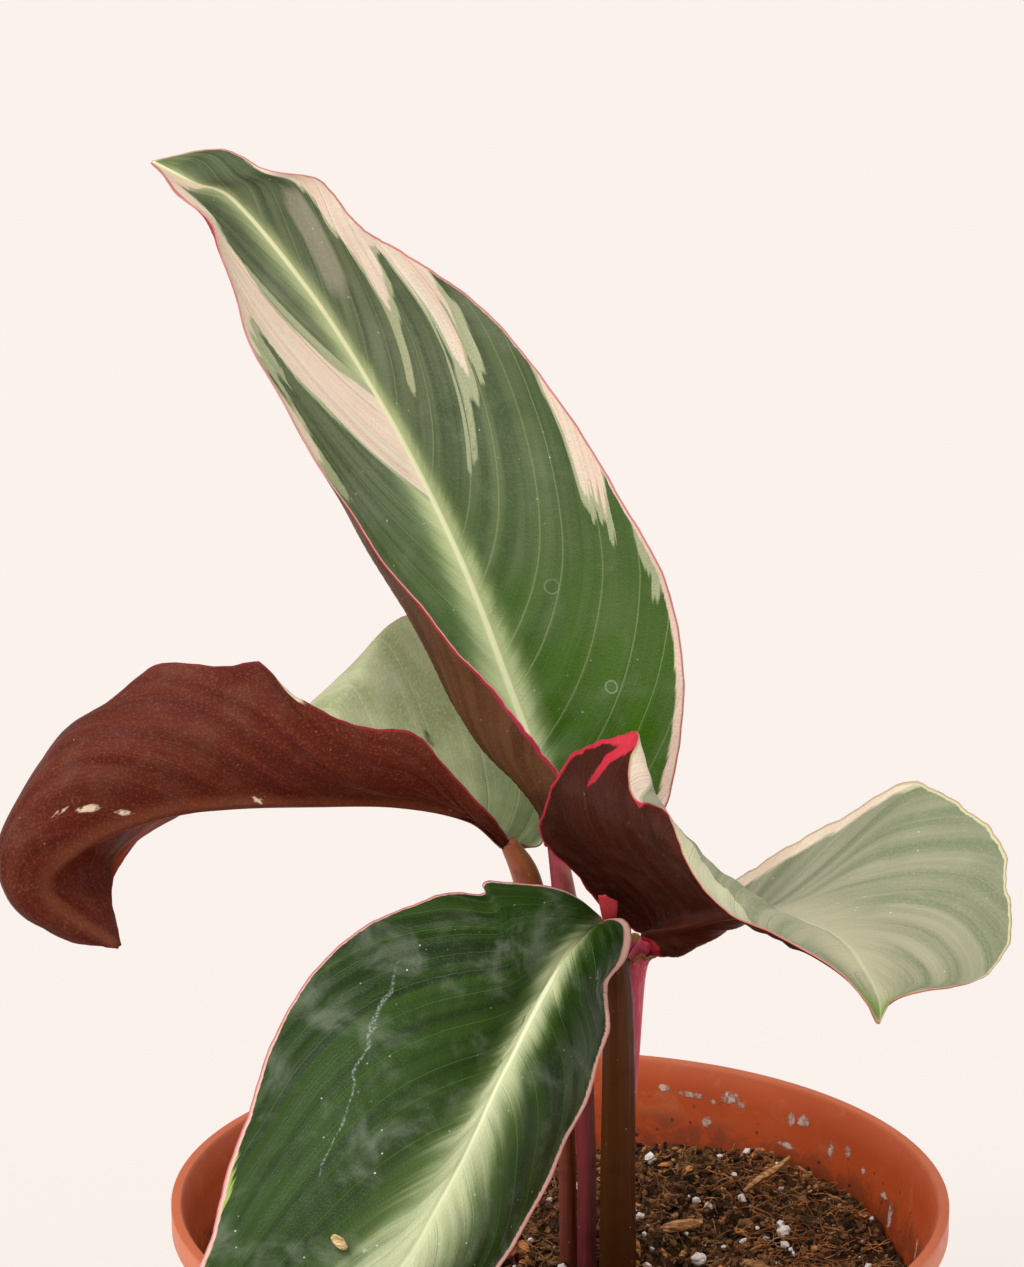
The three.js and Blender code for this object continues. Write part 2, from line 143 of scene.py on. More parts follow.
# Each blade: three rails from base to tip, how far each half bows away from the straight
# line between midrib and margin, where its side veins run, and its length along the
# midrib. A side vein leaves the midrib at a share w of the length and reaches the share
# w + a s + b s^2 at the share s of the way out to the margin; its values here are a and b.
BLADES = {
    "blade_upright": {
        "midrib": [
            (-0.5, 3, 149), (-3, 7, 160), (-8, 10, 174), (-14, 11, 190), (-21, 11, 205.5),
            (-29, 10, 220.5), (-37.5, 7, 234.5), (-48, 4, 248), (-54, 1, 251), (-59.5, 0, 254),
        ],
        "left": [
            (1.5, -3, 159), (-3.5, -5, 167.5), (-10.5, -7, 177), (-19.5, -7, 187.5),
            (-28.5, -5, 199), (-36, -4, 210.5), (-44.5, -3, 225.5), (-48.5, -2, 237),
            (-51, -1, 244.5), (-56.5, 0, 250),
        ],
        "right": [
            (6, 8, 148.5), (15, 6, 153), (18.5, 3, 171), (16, 2, 190), (8, 2, 205),
            (-2.5, 3, 221.5), (-14, 4, 234), (-24, 4, 240.5), (-30, 4, 244.5),
            (-35.5, 3, 251), (-43, 2, 252.5), (-49.5, 2, 255.5),
        ],
        "sag": {
            "left": (0, -5, -8, -7, -6, -4, -3, -2, -1, 0),
            "right": (0, -3, -2, -1, 0, 0, 0, 0, 0, 0),
        },
        "veins": {"left": (0.42, 0.0), "right": (0.20, 0.10)},
        "length": 126,
    },
    "blade_left": {
        "midrib": [
            (-7.5, 4, 150), (-13.5, 3, 155), (-24.5, 2, 157.5), (-38, 0, 158), (-50, -2, 158),
            (-61.5, -4, 156.5), (-72.5, -7, 152), (-76.5, -9, 146), (-66, -8, 137),
        ],
        "left": [
            (-11, -4, 157), (-18, -5, 165.5), (-22.5, -5, 170), (-31, -5, 171), (-39, -4, 175),
            (-44.5, -3, 179), (-52.5, 2, 178.5), (-62, 6, 176.5), (-70.5, 7, 170.5),
            (-77, 6, 165.5), (-81.5, 2, 158.5), (-85, -4, 150.5), (-82, -8, 143.5),
            (-73, -9, 138.5),
        ],
        "right": [
            (-2.5, 12, 148), (0, 20, 158.5), (-9.5, 24, 172.5), (-22.5, 22, 181.5),
            (-32.5, 20, 173.5), (-46.5, 17, 161.5), (-57, 12, 154.5), (-65, 6, 149),
            (-68, 0, 144.5),
        ],
        "sag": {
            "left": (0, -2, -3, -4, -4, -6, -7, -5, -2, 0),
            "right": (0, -3, -5, -5, -4, -3, -2, -1, 0, 0),
        },
        "veins": {"left": (0.30, 0.10), "right": (0.20, 0.10)},
        "length": 91,
    },
    "blade_right": {
        "midrib": [
            (13.5, 3, 135), (17, -4, 139), (20.5, -12, 143), (23, -21, 147), (26, -32, 151),
            (29.5, -44, 154.5), (32.5, -54, 156.5), (35.5, -62, 157.5), (37.5, -69, 157.5),
            (39, -74, 156), (40, -78, 154), (40, -80, 151.5),
        ],
        "left": [
            (15, 5, 132), (18, 8, 132.5), (20.5, 10, 135.5), (23, 9, 139), (26, 6, 142.5),
            (30, 0, 147.5), (36, -9, 154.5), (42, -18, 161.5), (48.5, -28, 168.5),
            (54, -36, 169), (58, -44, 167.5), (60, -51, 164.5), (60, -58, 160.5),
            (58, -65, 156), (53.5, -70, 153.5), (46.5, -75, 154.5), (42, -78, 154),
        ],
        "right": [
            (10.5, 5, 136), (6, 4, 140), (1, 1, 147), (-3, -4, 154), (-2, -8, 161.5),
            (1.5, -13, 168.5), (6, -18, 172.5), (10.5, -23, 174.5), (9, -31, 172),
            (10, -37, 169), (13.5, -42, 169), (15.5, -49, 166.5), (18, -57, 163),
            (21.5, -64, 161), (27, -71, 161), (33, -77, 159), (37.5, -80, 155.5),
        ],
        "sag": {
            "left": (0, -3, -4, -4, -3, -2, -1, 0, 0, 0),
            "right": (0, 2, 1, -3, -4, -2, -1, 0, 0),
        },
        "veins": {"left": (0.30, 0.0), "right": (0.20, 0.10)},
        "length": 93,
    },
    "blade_front": {
        "midrib": [
            (6.5, -4, 140), (1, -13, 138), (-4.5, -22, 133), (-9.5, -31, 127),
            (-14.5, -41, 121.5), (-20, -50, 115), (-26, -60, 109), (-38, -74, 98.5),
            (-48, -87, 85.5), (-56, -97, 70),
        ],
        "left": [
            (10, -6, 139.5), (8.5, -8, 135), (6, -10, 132), (6.5, -13, 129), (5.5, -17, 124.5),
            (2.5, -24, 118.5), (-1.5, -31, 112.5), (-5, -38, 107.5), (-10, -47, 103),
            (-18, -62, 94), (-32, -80, 82), (-46, -92, 72),
        ],
        "right": [
            (2.5, -4, 143.5), (-4, -5, 146), (-11, -7, 147), (-12, -9, 146), (-19, -11, 146),
            (-28, -14, 143), (-36.5, -20, 137.5), (-42, -28, 129.5), (-45.5, -37, 121),
            (-48.5, -46, 113), (-51.5, -56, 105), (-62, -70, 93), (-64, -82, 80),
            (-60, -93, 71),
        ],
        "sag": {
            "left": (0, 2, 3, 3, 3, 3, 3, 2, 1, 0),
            "right": (0, 2, 3, 3, 3, 3, 2, 2, 1, 0),
        },
        "veins": {"left": (0.30, 0.05), "right": (0.58, 0.08)},
        "length": 135,
    },
}

# Cream and pale green patches lie between side veins. Each outline is given by corners
# (w, s): the vein, by where it leaves the midrib, and the share of the way to the margin.
# Spots are dead or dried tissue, thin places are painted with the glow of light coming
# through on the underside, and a trail is the line that a runnel of water dried along.
PATCHES = {
    "blade_upright": {
        "cream": {
            "right": [
                [(0.62, 1.2), (0.56, 0.78), (0.52, 0.74), (0.483, 0.72), (0.474, 0.66),
                 (0.466, 0.58), (0.452, 0.53), (0.438, 0.60), (0.425, 0.66), (0.412, 0.76),
                 (0.398, 0.86), (0.372, 0.91), (0.36, 1.2)],
                [(0.38, 1.2), (0.368, 0.92), (0.362, 0.80), (0.357, 0.70), (0.352, 0.62),
                 (0.341, 0.58), (0.328, 0.64), (0.318, 0.72), (0.312, 0.80), (0.300, 0.88),
                 (0.285, 0.94), (0.275, 1.2)],
                [(0.175, 1.2), (0.173, 0.955), (0.162, 0.90), (0.158, 0.83), (0.151, 0.82),
                 (0.143, 0.89), (0.131, 0.85), (0.124, 0.86), (0.115, 0.93), (0.105, 0.985),
                 (0.10, 1.2)],
            ],
            "left": [
                [(0.72, 1.2), (0.70, 0.50), (0.66, 0.49), (0.604, 0.53), (0.542, 0.51),
                 (0.525, 0.46), (0.510, 0.42), (0.508, 0.36), (0.513, 0.28), (0.52, 0.18),
                 (0.530, 0.08), (0.535, -0.2), (0.416, -0.2), (0.417, 0.05), (0.411, 0.21),
                 (0.400, 0.38), (0.380, 0.54), (0.366, 0.68), (0.347, 0.76), (0.302, 0.83),
                 (0.250, 0.93), (0.205, 1.0), (0.19, 1.2)],
                [(0.23, 1.2), (0.212, 0.94), (0.248, 0.80), (0.258, 0.75), (0.246, 0.74),
                 (0.225, 0.75), (0.200, 0.81), (0.165, 0.88), (0.125, 0.98), (0.11, 1.2)],
                [(0.87, -0.2), (0.78, 0.25), (0.70, 0.47), (0.55, 1.2), (1.1, 1.2), (1.1, -0.2)],
            ],
        },
        "pale": {
            "right": [
                [(0.478, 0.66), (0.470, 0.50), (0.468, 0.38), (0.468, 0.25), (0.456, 0.26),
                 (0.450, 0.44), (0.425, 0.62), (0.405, 0.74), (0.42, 0.80), (0.44, 0.70)],
                [(0.30, 0.93), (0.268, 0.92), (0.280, 0.81), (0.286, 0.72), (0.318, 0.66),
                 (0.322, 0.58), (0.338, 0.54), (0.342, 0.44), (0.347, 0.33), (0.363, 0.30),
                 (0.362, 0.42), (0.360, 0.58), (0.34, 0.78)],
                [(0.130, 0.88), (0.124, 0.82), (0.114, 0.83), (0.104, 0.92), (0.10, 1.2),
                 (0.13, 1.2)],
                [(0.08, 1.2), (0.072, 0.93), (0.055, 0.91), (0.037, 0.92), (0.02, 0.96),
                 (0.015, 1.2)],
            ],
            "left": [
                [(0.352, 0.77), (0.352, 0.70), (0.350, 0.61), (0.343, 0.60), (0.334, 0.65),
                 (0.320, 0.67), (0.292, 0.73), (0.264, 0.80), (0.240, 0.89), (0.201, 1.0),
                 (0.205, 1.2), (0.25, 1.0), (0.302, 0.86)],
                [(0.25, 0.80), (0.236, 0.71), (0.233, 0.63), (0.226, 0.58), (0.212, 0.64),
                 (0.185, 0.74), (0.153, 0.83), (0.109, 1.0), (0.10, 1.2), (0.16, 1.2)],
                [(0.54, 0.52), (0.545, 0.36), (0.545, 0.20), (0.548, 0.04), (0.536, -0.02),
                 (0.525, 0.10), (0.512, 0.26), (0.510, 0.44), (0.53, 0.50)],
            ],
        },
        "spot": {
            "right": [
                [(0.619, 0.58), (0.575, 0.68), (0.545, 0.62), (0.541, 0.44), (0.565, 0.31),
                 (0.610, 0.20), (0.622, 0.36), (0.640, 0.42)],
            ],
        },
    },
    "blade_left": {
        "cream": {"left": [[(-0.02, 1.2), (-0.03, 0.972), (-0.07, 0.965), (-0.09, 1.2)]]},
        "pale": {
            "left": [
                [(0.634, 0.145), (0.644, 0.15), (0.645, 0.20), (0.636, 0.215), (0.629, 0.19)],
                [(0.628, 0.27), (0.637, 0.262), (0.640, 0.295), (0.630, 0.30)],
                [(0.632, 0.05), (0.640, 0.06), (0.638, 0.09), (0.631, 0.085)],
                [(0.447, 0.02), (0.451, 0.028), (0.441, 0.045), (0.437, 0.035)],
            ],
        },
        "spot": {
            "right": [
                [(0.165, 0.535), (0.173, 0.535), (0.176, 0.555), (0.170, 0.575), (0.163, 0.56)],
            ],
        },
        "thin": {
            "right": [
                [(0.50, 1.2), (0.53, 0.80), (0.56, 0.45), (0.59, 0.15), (0.64, 0.15),
                 (0.62, 0.50), (0.60, 0.80), (0.60, 1.2)],
            ],
        },
    },
    "blade_right": {
        "cream": {
            "right": [
                [(0.29, 1.2), (0.27, 0.94), (0.25, 0.86), (0.236, 0.80), (0.20, 0.86),
                 (0.168, 0.96), (0.146, 0.91), (0.122, 0.88), (0.100, 0.835), (0.075, 0.855),
                 (0.090, 0.88), (0.108, 0.92), (0.124, 0.955), (0.11, 0.972),
                 (0.06, 0.985), (-0.01, 0.988), (-0.04, 1.2)],
            ],
            "left": [
                [(0.24, 1.2), (0.215, 0.955), (0.16, 0.93), (0.10, 0.925), (0.04, 0.925),
                 (-0.03, 0.93), (-0.09, 0.94), (-0.12, 1.2)],
                [(-0.5, 1.2), (-0.5, -0.2), (-0.02, -0.2), (-0.024, 0.3), (-0.107, 0.6),
                 (-0.10, 1.2)],
            ],
        },
        "pale": {
            "right": [
                [(0.30, 1.2), (0.31, 0.97), (0.35, 0.92), (0.396, 0.85), (0.43, 0.81),
                 (0.476, 0.77), (0.53, 0.68), (0.57, 0.78), (0.55, 0.95), (0.54, 1.2)],
            ],
        },
    },
    "blade_front": {
        "cream": {
            "right": [
                [(0.5, 1.2), (0.32, 0.955), (0.20, 0.97), (0.10, 0.975), (0.07, 0.985),
                 (0.06, 1.2)],
            ],
        },
        "trail": {
            "right": [
                [(-0.052, 0.724), (0.025, 0.655), (0.081, 0.604), (0.145, 0.560),
                 (0.194, 0.544), (0.230, 0.519), (0.248, 0.544), (0.274, 0.533),
                 (0.40, 0.46), (1.0, 1.6), (-1.0, 1.6), (-0.6, 1.1)],
            ],
        },
        "spot": {
            "left": [[(-0.008, 0.50), (0.004, 0.51), (0.008, 0.58), (-0.002, 0.59)]],
        },
        "pale": {
            "right": [
                [(0.07, 1.2), (0.06, 0.975), (0.03, 0.955), (0.0, 0.965), (-0.02, 0.985),
                 (-0.03, 1.2)],
            ],
        },
    },
}

# Widths in mm, from base to tip, of the pale feathered zone beside the midrib and of the
# pale band along the margin.
FEATHER = {
    "blade_upright": {
        "left": (1.6, 2.4, 2.8, 2.8, 2.6, 2.4, 2.2, 2, 1.8, 1.6, 1.5),
        "right": (2, 4.4, 4.6, 3.4, 2.7, 2.3, 2, 1.8, 1.6, 1.5, 1.5),
    },
    "blade_left": {
        "left": (3, 6, 9, 10, 10, 10, 9, 8, 6, 4, 3),
        "right": (3, 8, 14, 16, 16, 14, 12, 9, 6, 4, 3),
    },
    "blade_right": {
        "left": (3, 5, 7, 8, 9, 9, 9, 8, 6, 4, 3),
        "right": (3, 5, 6, 7, 8, 8, 8, 8, 6, 4, 3),
    },
    "blade_front": {
        "left": (2, 3, 3.6, 4.8, 6.2, 8, 9.5, 10.5, 10, 8, 4),
        # On this half the faint outer halo is widened so that it also carries a painted sheen.
        "right": (2, 3, 3.8, 4.6, 5.6, 7.5, 9.5, 10, 8, 5, 3),
    },
}
BORDER = {
    "blade_upright": {
        "left": (0.9, 0.8, 0.7, 0.5, 0.3, 0.3, 0.3, 0.3, 0.3, 0.3, 0.3),
        "right": (1.8, 1.8, 1.6, 1, 0.4, 0.3, 0.3, 0.3, 0.3, 0.3, 0.3),
    },
    "blade_left": {
        "left": (0.3, 0.3, 0.2, 0.2, 0.2, 0.2, 0.2, 0.2, 0.2, 0.2, 0.2),
        "right": (0.6, 0.5, 0.4, 0.3, 0.3, 0.3, 0.3, 0.3, 0.3, 0.3, 0.3),
    },
    "blade_right": {
        "left": (0.4, 0.4, 0.4, 0.4, 0.4, 0.5, 0.6, 0.6, 0.4, 0.4, 0.3),
        "right": (0.6, 0.6, 0.6, 0.6, 0.6, 0.6, 0.5, 0.4, 0.3, 0.3, 0.3),
    },
    "blade_front": {
        "left": (1.1, 1.2, 1.1, 0.9, 0.8, 0.8, 0.8, 0.8, 0.8, 0.7, 0.6),
        "right": (0.8, 0.6, 0.5, 0.4, 0.4, 0.5, 0.7, 0.8, 0.8, 0.8, 0.6),
    },
}
# How far each margin wanders in its own plane, and how far it is rolled up, in mm.
RAGGED = {"blade_upright": 0.12, "blade_left": 0.16, "blade_right": 0.35, "blade_front": 0.15}
ROLLED = {"blade_upright": 0.2, "blade_left": 0.1, "blade_right": 0.1, "blade_front": 0.7}

# Corners and hollows of the margins: whether on the right half, where from base to tip,
# half the length of the corner as a share of the blade's, and how far it stands out in mm.
CORNERS = {
    "blade_upright": [],
    "blade_left": [
        (False, 0.651, 0.04, 0.8), (False, 0.585, 0.05, -1.0), (False, 0.521, 0.05, 0.9),
        (False, 0.46, 0.03, -0.3), (False, 0.401, 0.03, 0.9), (False, 0.985, 0.012, 1.0),
        (False, 0.80, 0.012, -0.7), (False, 0.86, 0.02, 0.6), (False, 0.90, 0.015, -0.6),
    ],
    "blade_right": [(False, 0.70, 0.03, -0.8), (False, 0.85, 0.03, -0.7), (False, 0.93, 0.02, 0.6)],
    "blade_front": [],
}
# How far the drawn midrib leaves the middle rail, from base to tip: +-1 is a margin.
MIDRIB_PLACE = {
    "blade_upright": (0, 0),
    "blade_left": (0, 0),
    "blade_right": (0, 0),
    "blade_front": (0, 0.03, -0.04, -0.07, -0.09, -0.115, -0.14, -0.15, -0.13, -0.07, 0),
}

# Leaf stalks from below the mix to the midrib that they carry, with their radii.
STALKS = {
    "petiole_front": {
        "points": [
            (8, 0, 56), (9, 0, 79), (9, 0.5, 98), (9, 0.5, 116), (8.5, 0, 130),
            (6.9, -3.2, 139.4),
        ],
        "radii": (2.9, 2.9, 2.7, 2.5, 2.2, 1.3),
    },
    "petiole_upright": {
        "points": [
            (5, 3, 56), (4.4, 3.4, 79), (4.2, 4, 98), (3.2, 4.6, 120), (1.2, 4.6, 137),
            (-0.6, 3.4, 149.5),
        ],
        "radii": (1.5, 1.5, 1.5, 1.6, 1.9, 1.4),
    },
    "petiole_left": {
        "points": [
            (2.5, 6, 56), (1.6, 6.2, 79), (1.2, 7, 98), (0, 7.6, 116), (-3.2, 6.4, 134),
            (-5.2, 5, 144), (-8, 4, 150),
        ],
        "radii": (1.4, 1.4, 1.4, 1.7, 2.1, 2.1, 1.3),
    },
    "petiole_right": {
        "points": [
            (9, 6.5, 56), (9, 6.8, 79), (9.1, 6.8, 98), (9.6, 6.6, 114), (10.8, 5.8, 127),
            (13.6, 2.8, 135),
        ],
        "radii": (1.6, 1.6, 1.6, 1.6, 1.7, 1.2),
    },
}

# Loose grains that the CAD part has too: place in plan, half sizes, turn. The one on the
# front leaf has its height too, and a turn about each axis.
CHIPS = {
    "bark_chip_back": ((20, 17), (3.6, 1.5, 0.9), 0.4),
    "bark_chip_side": ((31, 2), (3.2, 1.2, 0.8), -0.7),
    "bark_chip_near": ((22, -18), (2.8, 1.4, 0.9), 1.2),
    "bark_chip_left": ((-9, 9), (2.3, 1.3, 0.9), 0.2),
}
PERLITE = {
    "perlite_grain_1": ((22, 6), (1.3, 1.1, 1), 0.5),
    "perlite_grain_2": ((17.5, -4), (1.5, 1.2, 1), 1.1),
    "perlite_grain_3": ((-13, 3), (1.3, 1.2, 1), 0),
    "perlite_grain_4": ((36, 14), (1.2, 1, 0.9), 0.9),
}
LEAF_CHIP = ((-31.2, -58.9, 112), (2.2, 1.1, 0.7), (0.63, 0, 1.9))
# The splinter that leans in the mix: its middle line from its foot up, and its radii.
SPLINTER_LINE = [(30.4, 25.4, 83.9), (33.0, 27.0, 85.4), (35.7, 28.8, 86.3), (38.2, 30.6, 87.7)]
SPLINTER_RADII = (0.35, 0.62, 0.3)

# Settings that many shader nodes share.
SMOOTH = {"interpolation_type": "SMOOTHSTEP"}
TIMES = {"operation": "MULTIPLY"}
TIMES_PLUS = {"operation": "MULTIPLY_ADD"}
MINUS = {"operation": "SUBTRACT"}
UNSIGNED = {"operation": "ABSOLUTE"}
IN_LINE = {"voronoi_dimensions": "1D"}
TISSUE_IOR = 1.45  # refraction of a leaf's waxy cuticle


# ---- helpers ----------------------------------------------------------------------


def srgb(code):
    """A hex colour as the linear colour that the shaders work in."""
    values = [int(code[k : k + 2], 16) / 255 for k in (1, 3, 5)]
    return [c / 12.92 if c <= 0.04045 else ((c + 0.055) / 1.055) ** 2.4 for c in values] + [1]


def add(tree, kind, inputs=(), out=0, **settings):
    """Adds a shader node with its settings, sets and links its inputs, and gives back one
    of its outputs. Inputs are a list in the node's own order, or a dict by their names.
    A Map Range lists its value, the two values it runs between, and what those become."""
    node = tree.nodes.new("ShaderNode" + kind)
    for key, value in settings.items():
        setattr(node, key, value)
    for key, value in inputs.items() if isinstance(inputs, dict) else enumerate(inputs):
        if isinstance(value, bpy.types.NodeSocket):
            tree.links.new(value, node.inputs[key])
        else:
            node.inputs[key].default_value = value
    return node.outputs[out]


def surface_of(name, **constants):
    """A new material with its shader, whose fixed values are set here."""
    material = bpy.data.materials.new(name)
    material.use_nodes = True
    shader = material.node_tree.nodes["Principled BSDF"]
    for key, value in constants.items():
        shader.inputs[key.replace("_", " ").title().replace("Ior", "IOR")].default_value = value
    return material, material.node_tree, shader


def paint(tree, base, layers):
    """Lays colours over each other: each layer is a mask and a colour."""
    for mask, colour in layers:
        if isinstance(colour, str):
            colour = srgb(colour)
        base = add(tree, "Mix", {0: mask, 6: base, 7: colour}, 2, data_type="RGBA")
    return base


def finish_surface(tree, shader, colour, roughness, height, depth):
    """Links colour, roughness and a relief of the given depth to the shader."""
    tree.links.new(colour, shader.inputs["Base Color"])
    tree.links.new(roughness, shader.inputs["Roughness"])
    bump = add(tree, "Bump", {"Height": height, "Distance": depth * MM, "Strength": 1.0})
    tree.links.new(bump, shader.inputs["Normal"])


def through(points, t):
    """Points on the smooth curve through the given ones, at the shares t."""
    p = np.asarray(points, float)
    if p.ndim == 1:
        p = p[:, None]
    q = np.vstack([2 * p[0] - p[1], p, 2 * p[-1] - p[-2]])
    x = np.clip(t, 0, 1) * (len(p) - 1)
    i = np.minimum(x.astype(int), len(p) - 2)
    w = (x - i)[:, None]
    a, b, c, d = q[i], q[i + 1], q[i + 2], q[i + 3]
    bend = (2 * a - 5 * b + 4 * c - d) * w**2 + (3 * b - a - 3 * c + d) * w**3
    return 0.5 * (2 * b + (c - a) * w + bend)


def unit(vectors):
    return vectors / np.maximum(np.linalg.norm(vectors, axis=1), 1e-9)[:, None]


def depth_inside(outline, x, y):
    """How far points lie inside a closed outline; negative outside it."""
    inside = np.zeros(x.shape, bool)
    nearest = np.full(x.shape, 1e9)
    for (x0, y0), (x1, y1) in zip(outline, outline[1:] + outline[:1]):
        dx, dy = x1 - x0, y1 - y0
        share = np.clip(((x - x0) * dx + (y - y0) * dy) / (dx * dx + dy * dy), 0, 1)
        nearest = np.minimum(nearest, np.hypot(x - x0 - share * dx, y - y0 - share * dy))
        if y0 != y1:
            inside ^= ((y0 > y) != (y1 > y)) & (x < dx * (y - y0) / dy + x0)
    return np.where(inside, nearest, -nearest)


def turned(outline, steps):
    """A full turn of an outline of radii and heights about the pot's axis."""
    bm = bmesh.new()
    verts = [bm.verts.new((radius, 0, height)) for radius, height in outline]
    edges = [bm.edges.new(pair) for pair in zip(verts, verts[1:])]
    bmesh.ops.spin(
        bm, geom=verts + edges, cent=(0, 0, 0), axis=(0, 0, 1), angle=FULL_TURN,
        steps=steps, use_merge=True,
    )
    bmesh.ops.remove_doubles(bm, verts=bm.verts, dist=1e-4)
    return bm


def thickened(bm, thickness):
    """Gives an open sheet a thickness, with every face looking outwards."""
    bmesh.ops.recalc_face_normals(bm, faces=bm.faces)
    bmesh.ops.solidify(bm, geom=bm.faces[:], thickness=thickness)
    bmesh.ops.recalc_face_normals(bm, faces=bm.faces)


def place_verts(verts, points):
    for vert, point in zip(verts, points):
        vert.co = point


def make_object(name, bm, materials, smooth=True):
    """Turns a bmesh in millimetres into a piece at the origin."""
    bmesh.ops.scale(bm, vec=(MM, MM, MM), verts=bm.verts)
    mesh = bpy.data.meshes.new(name)
    bm.to_mesh(mesh)
    bm.free()
    mesh.polygons.foreach_set("use_smooth", [smooth] * len(mesh.polygons))
    for material in materials:
        mesh.materials.append(material)
    piece = bpy.data.objects.new(name, mesh)
    bpy.context.scene.collection.objects.link(piece)
    return piece


def belongs(piece, slot, *nodes):
    """The piece rides on the plant and stands for CAD nodes. Its slot is not used."""
    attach(piece, "root")
    if nodes:
        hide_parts(*nodes)


# ---- leaf blades ------------------------------------------------------------------


def blade_surface(blade, t, v):
    """The middle of the blade at t from base to tip and v from margin to margin, and
    the width of the half that it lies on."""
    base, tip = blade["midrib"][0], blade["midrib"][-1]
    right = (v >= 0)[:, None]
    share = np.abs(v)[:, None]
    step = 1e-4
    spine = through(blade["midrib"], t)
    ahead = through(blade["midrib"], t + step) - through(blade["midrib"], t - step)
    left_edge = through([base, *blade["left"], tip], t)
    right_edge = through([base, *blade["right"], tip], t)
    across = np.where(right, right_edge, left_edge) - spine
    up = unit(np.where(right, np.cross(across, ahead), np.cross(ahead, across)))
    sag = np.where(right, through(blade["sag"]["right"], t), through(blade["sag"]["left"], t))
    width = np.linalg.norm(across, axis=1)
    return spine + across * share + up * 4 * share * (1 - share) * sag, width


def blade_normals(blade, t, v):
    """Which way the blade's upper side looks at each point."""
    step = 0.004
    low, high = np.maximum(v - step, -1), np.minimum(v + step, 1)
    side = blade_surface(blade, t, high)[0] - blade_surface(blade, t, low)[0]
    ahead = blade_surface(blade, t + step, v)[0] - blade_surface(blade, t - step, v)[0]
    return unit(np.cross(side, ahead))


def by_side(table, right, t):
    """A width listed from base to tip for each half, at each point's own place."""
    values = [through(table[side], t)[:, 0] for side in ("left", "right")]
    return np.where(right, values[1], values[0])


def patch_depth(outlines, right, vein, share, length, width):
    """Depth in mm inside the nearest of a blade's patches."""
    across = VEIN_SPREAD * length
    depth = np.full(vein.shape, FAR_OUTSIDE)
    for side, mask in (("left", ~right), ("right", right)):
        for outline in outlines.get(side, []):
            corners = [(w * across, s * width) for w, s in outline]
            inside = depth_inside(corners, vein * across, share * width)
            depth = np.where(mask, np.maximum(depth, inside), depth)
    return depth


def blade_sheet(length):
    """An upper and a lower layer joined along the margin: face, underside and rim are its
    finishes 0, 1 and 2. Each vertex carries its place: across, along, and which layer."""
    bm = bmesh.new()
    bmesh.ops.create_grid(bm, x_segments=COLUMNS, y_segments=round(length / CELL), size=1)
    place = bm.verts.layers.float_vector.new("place")
    for vert in bm.verts:
        along = BLADE_TRIM + (1 - BLADE_TRIM - TIP_TRIM) * (vert.co.y + 1) / 2
        across = vert.co.x - CROWDING * math.sin(FULL_TURN * vert.co.x) / FULL_TURN
        vert[place] = (across, along, 0)
    grown = bmesh.ops.extrude_face_region(bm, geom=bm.faces[:], use_keep_orig=True)
    for vert in (g for g in grown["geom"] if isinstance(g, bmesh.types.BMVert)):
        vert[place] = (vert[place][0], vert[place][1], 1)
    for cell in bm.faces:
        layers = {round(vert[place][2]) for vert in cell.verts}
        cell.material_index = 2 if len(layers) == 2 else 0 if 1 in layers else 1
    return bm, np.array([vert[place] for vert in bm.verts])


def margin_wander(name, t, right):
    """How far a margin leaves its rail, outwards: small waves, corners and hollows."""
    x = FULL_TURN * (t * BLADES[name]["length"] + MAP_SHIFT * right)
    waves = 0.6 * np.sin(x / 11.3) + 0.4 * np.sin(x / 4.7 + 1) + 0.3 * np.sin(x / 2.3 + 2)
    wander = RAGGED[name] * waves
    for on_right, middle, reach, offset in CORNERS[name]:
        peak = np.clip(1 - np.abs(t - middle) / reach, 0, 1)
        wander += np.where(right == on_right, offset * peak, 0)
    return wander


def blade_lift(name, t, share, width, vein, right, upper):
    """How far each vertex stands off the middle of a blade: half the thickness, a groove
    over the midrib and its keel below, the swelling of both faces between the side veins,
    and a margin that waves a little and rolls up."""
    length = BLADES[name]["length"]
    rib, edge = share * width, (1 - share) * width
    half = HALF_THICKNESS - MARGIN_THINNING * share**4
    groove = GROOVE_DEPTH * (1 - t) * np.exp(-((rib / 0.8) ** 2))
    keel = KEEL_DEPTH * (1 - t) * np.exp(-((rib / 0.9) ** 2))
    fade = np.clip(rib / 4, 0, 1) * np.clip(edge / 5, 0, 1)
    quilt = sum(
        high * fade * np.sin(vein * length * FULL_TURN / spacing + lag * share)
        for high, spacing, lag in QUILT
    )
    wave = WAVE_HEIGHT * share**6 * np.sin(t * length / 2.3 + 2 * right)
    roll = ROLLED[name] * np.where(right, 0.25, 1) * np.exp(-((edge / 0.9) ** 2)) * np.clip(width / 6, 0, 1)
    return np.where(upper, half - groove, -half - keel) + quilt + wave + roll


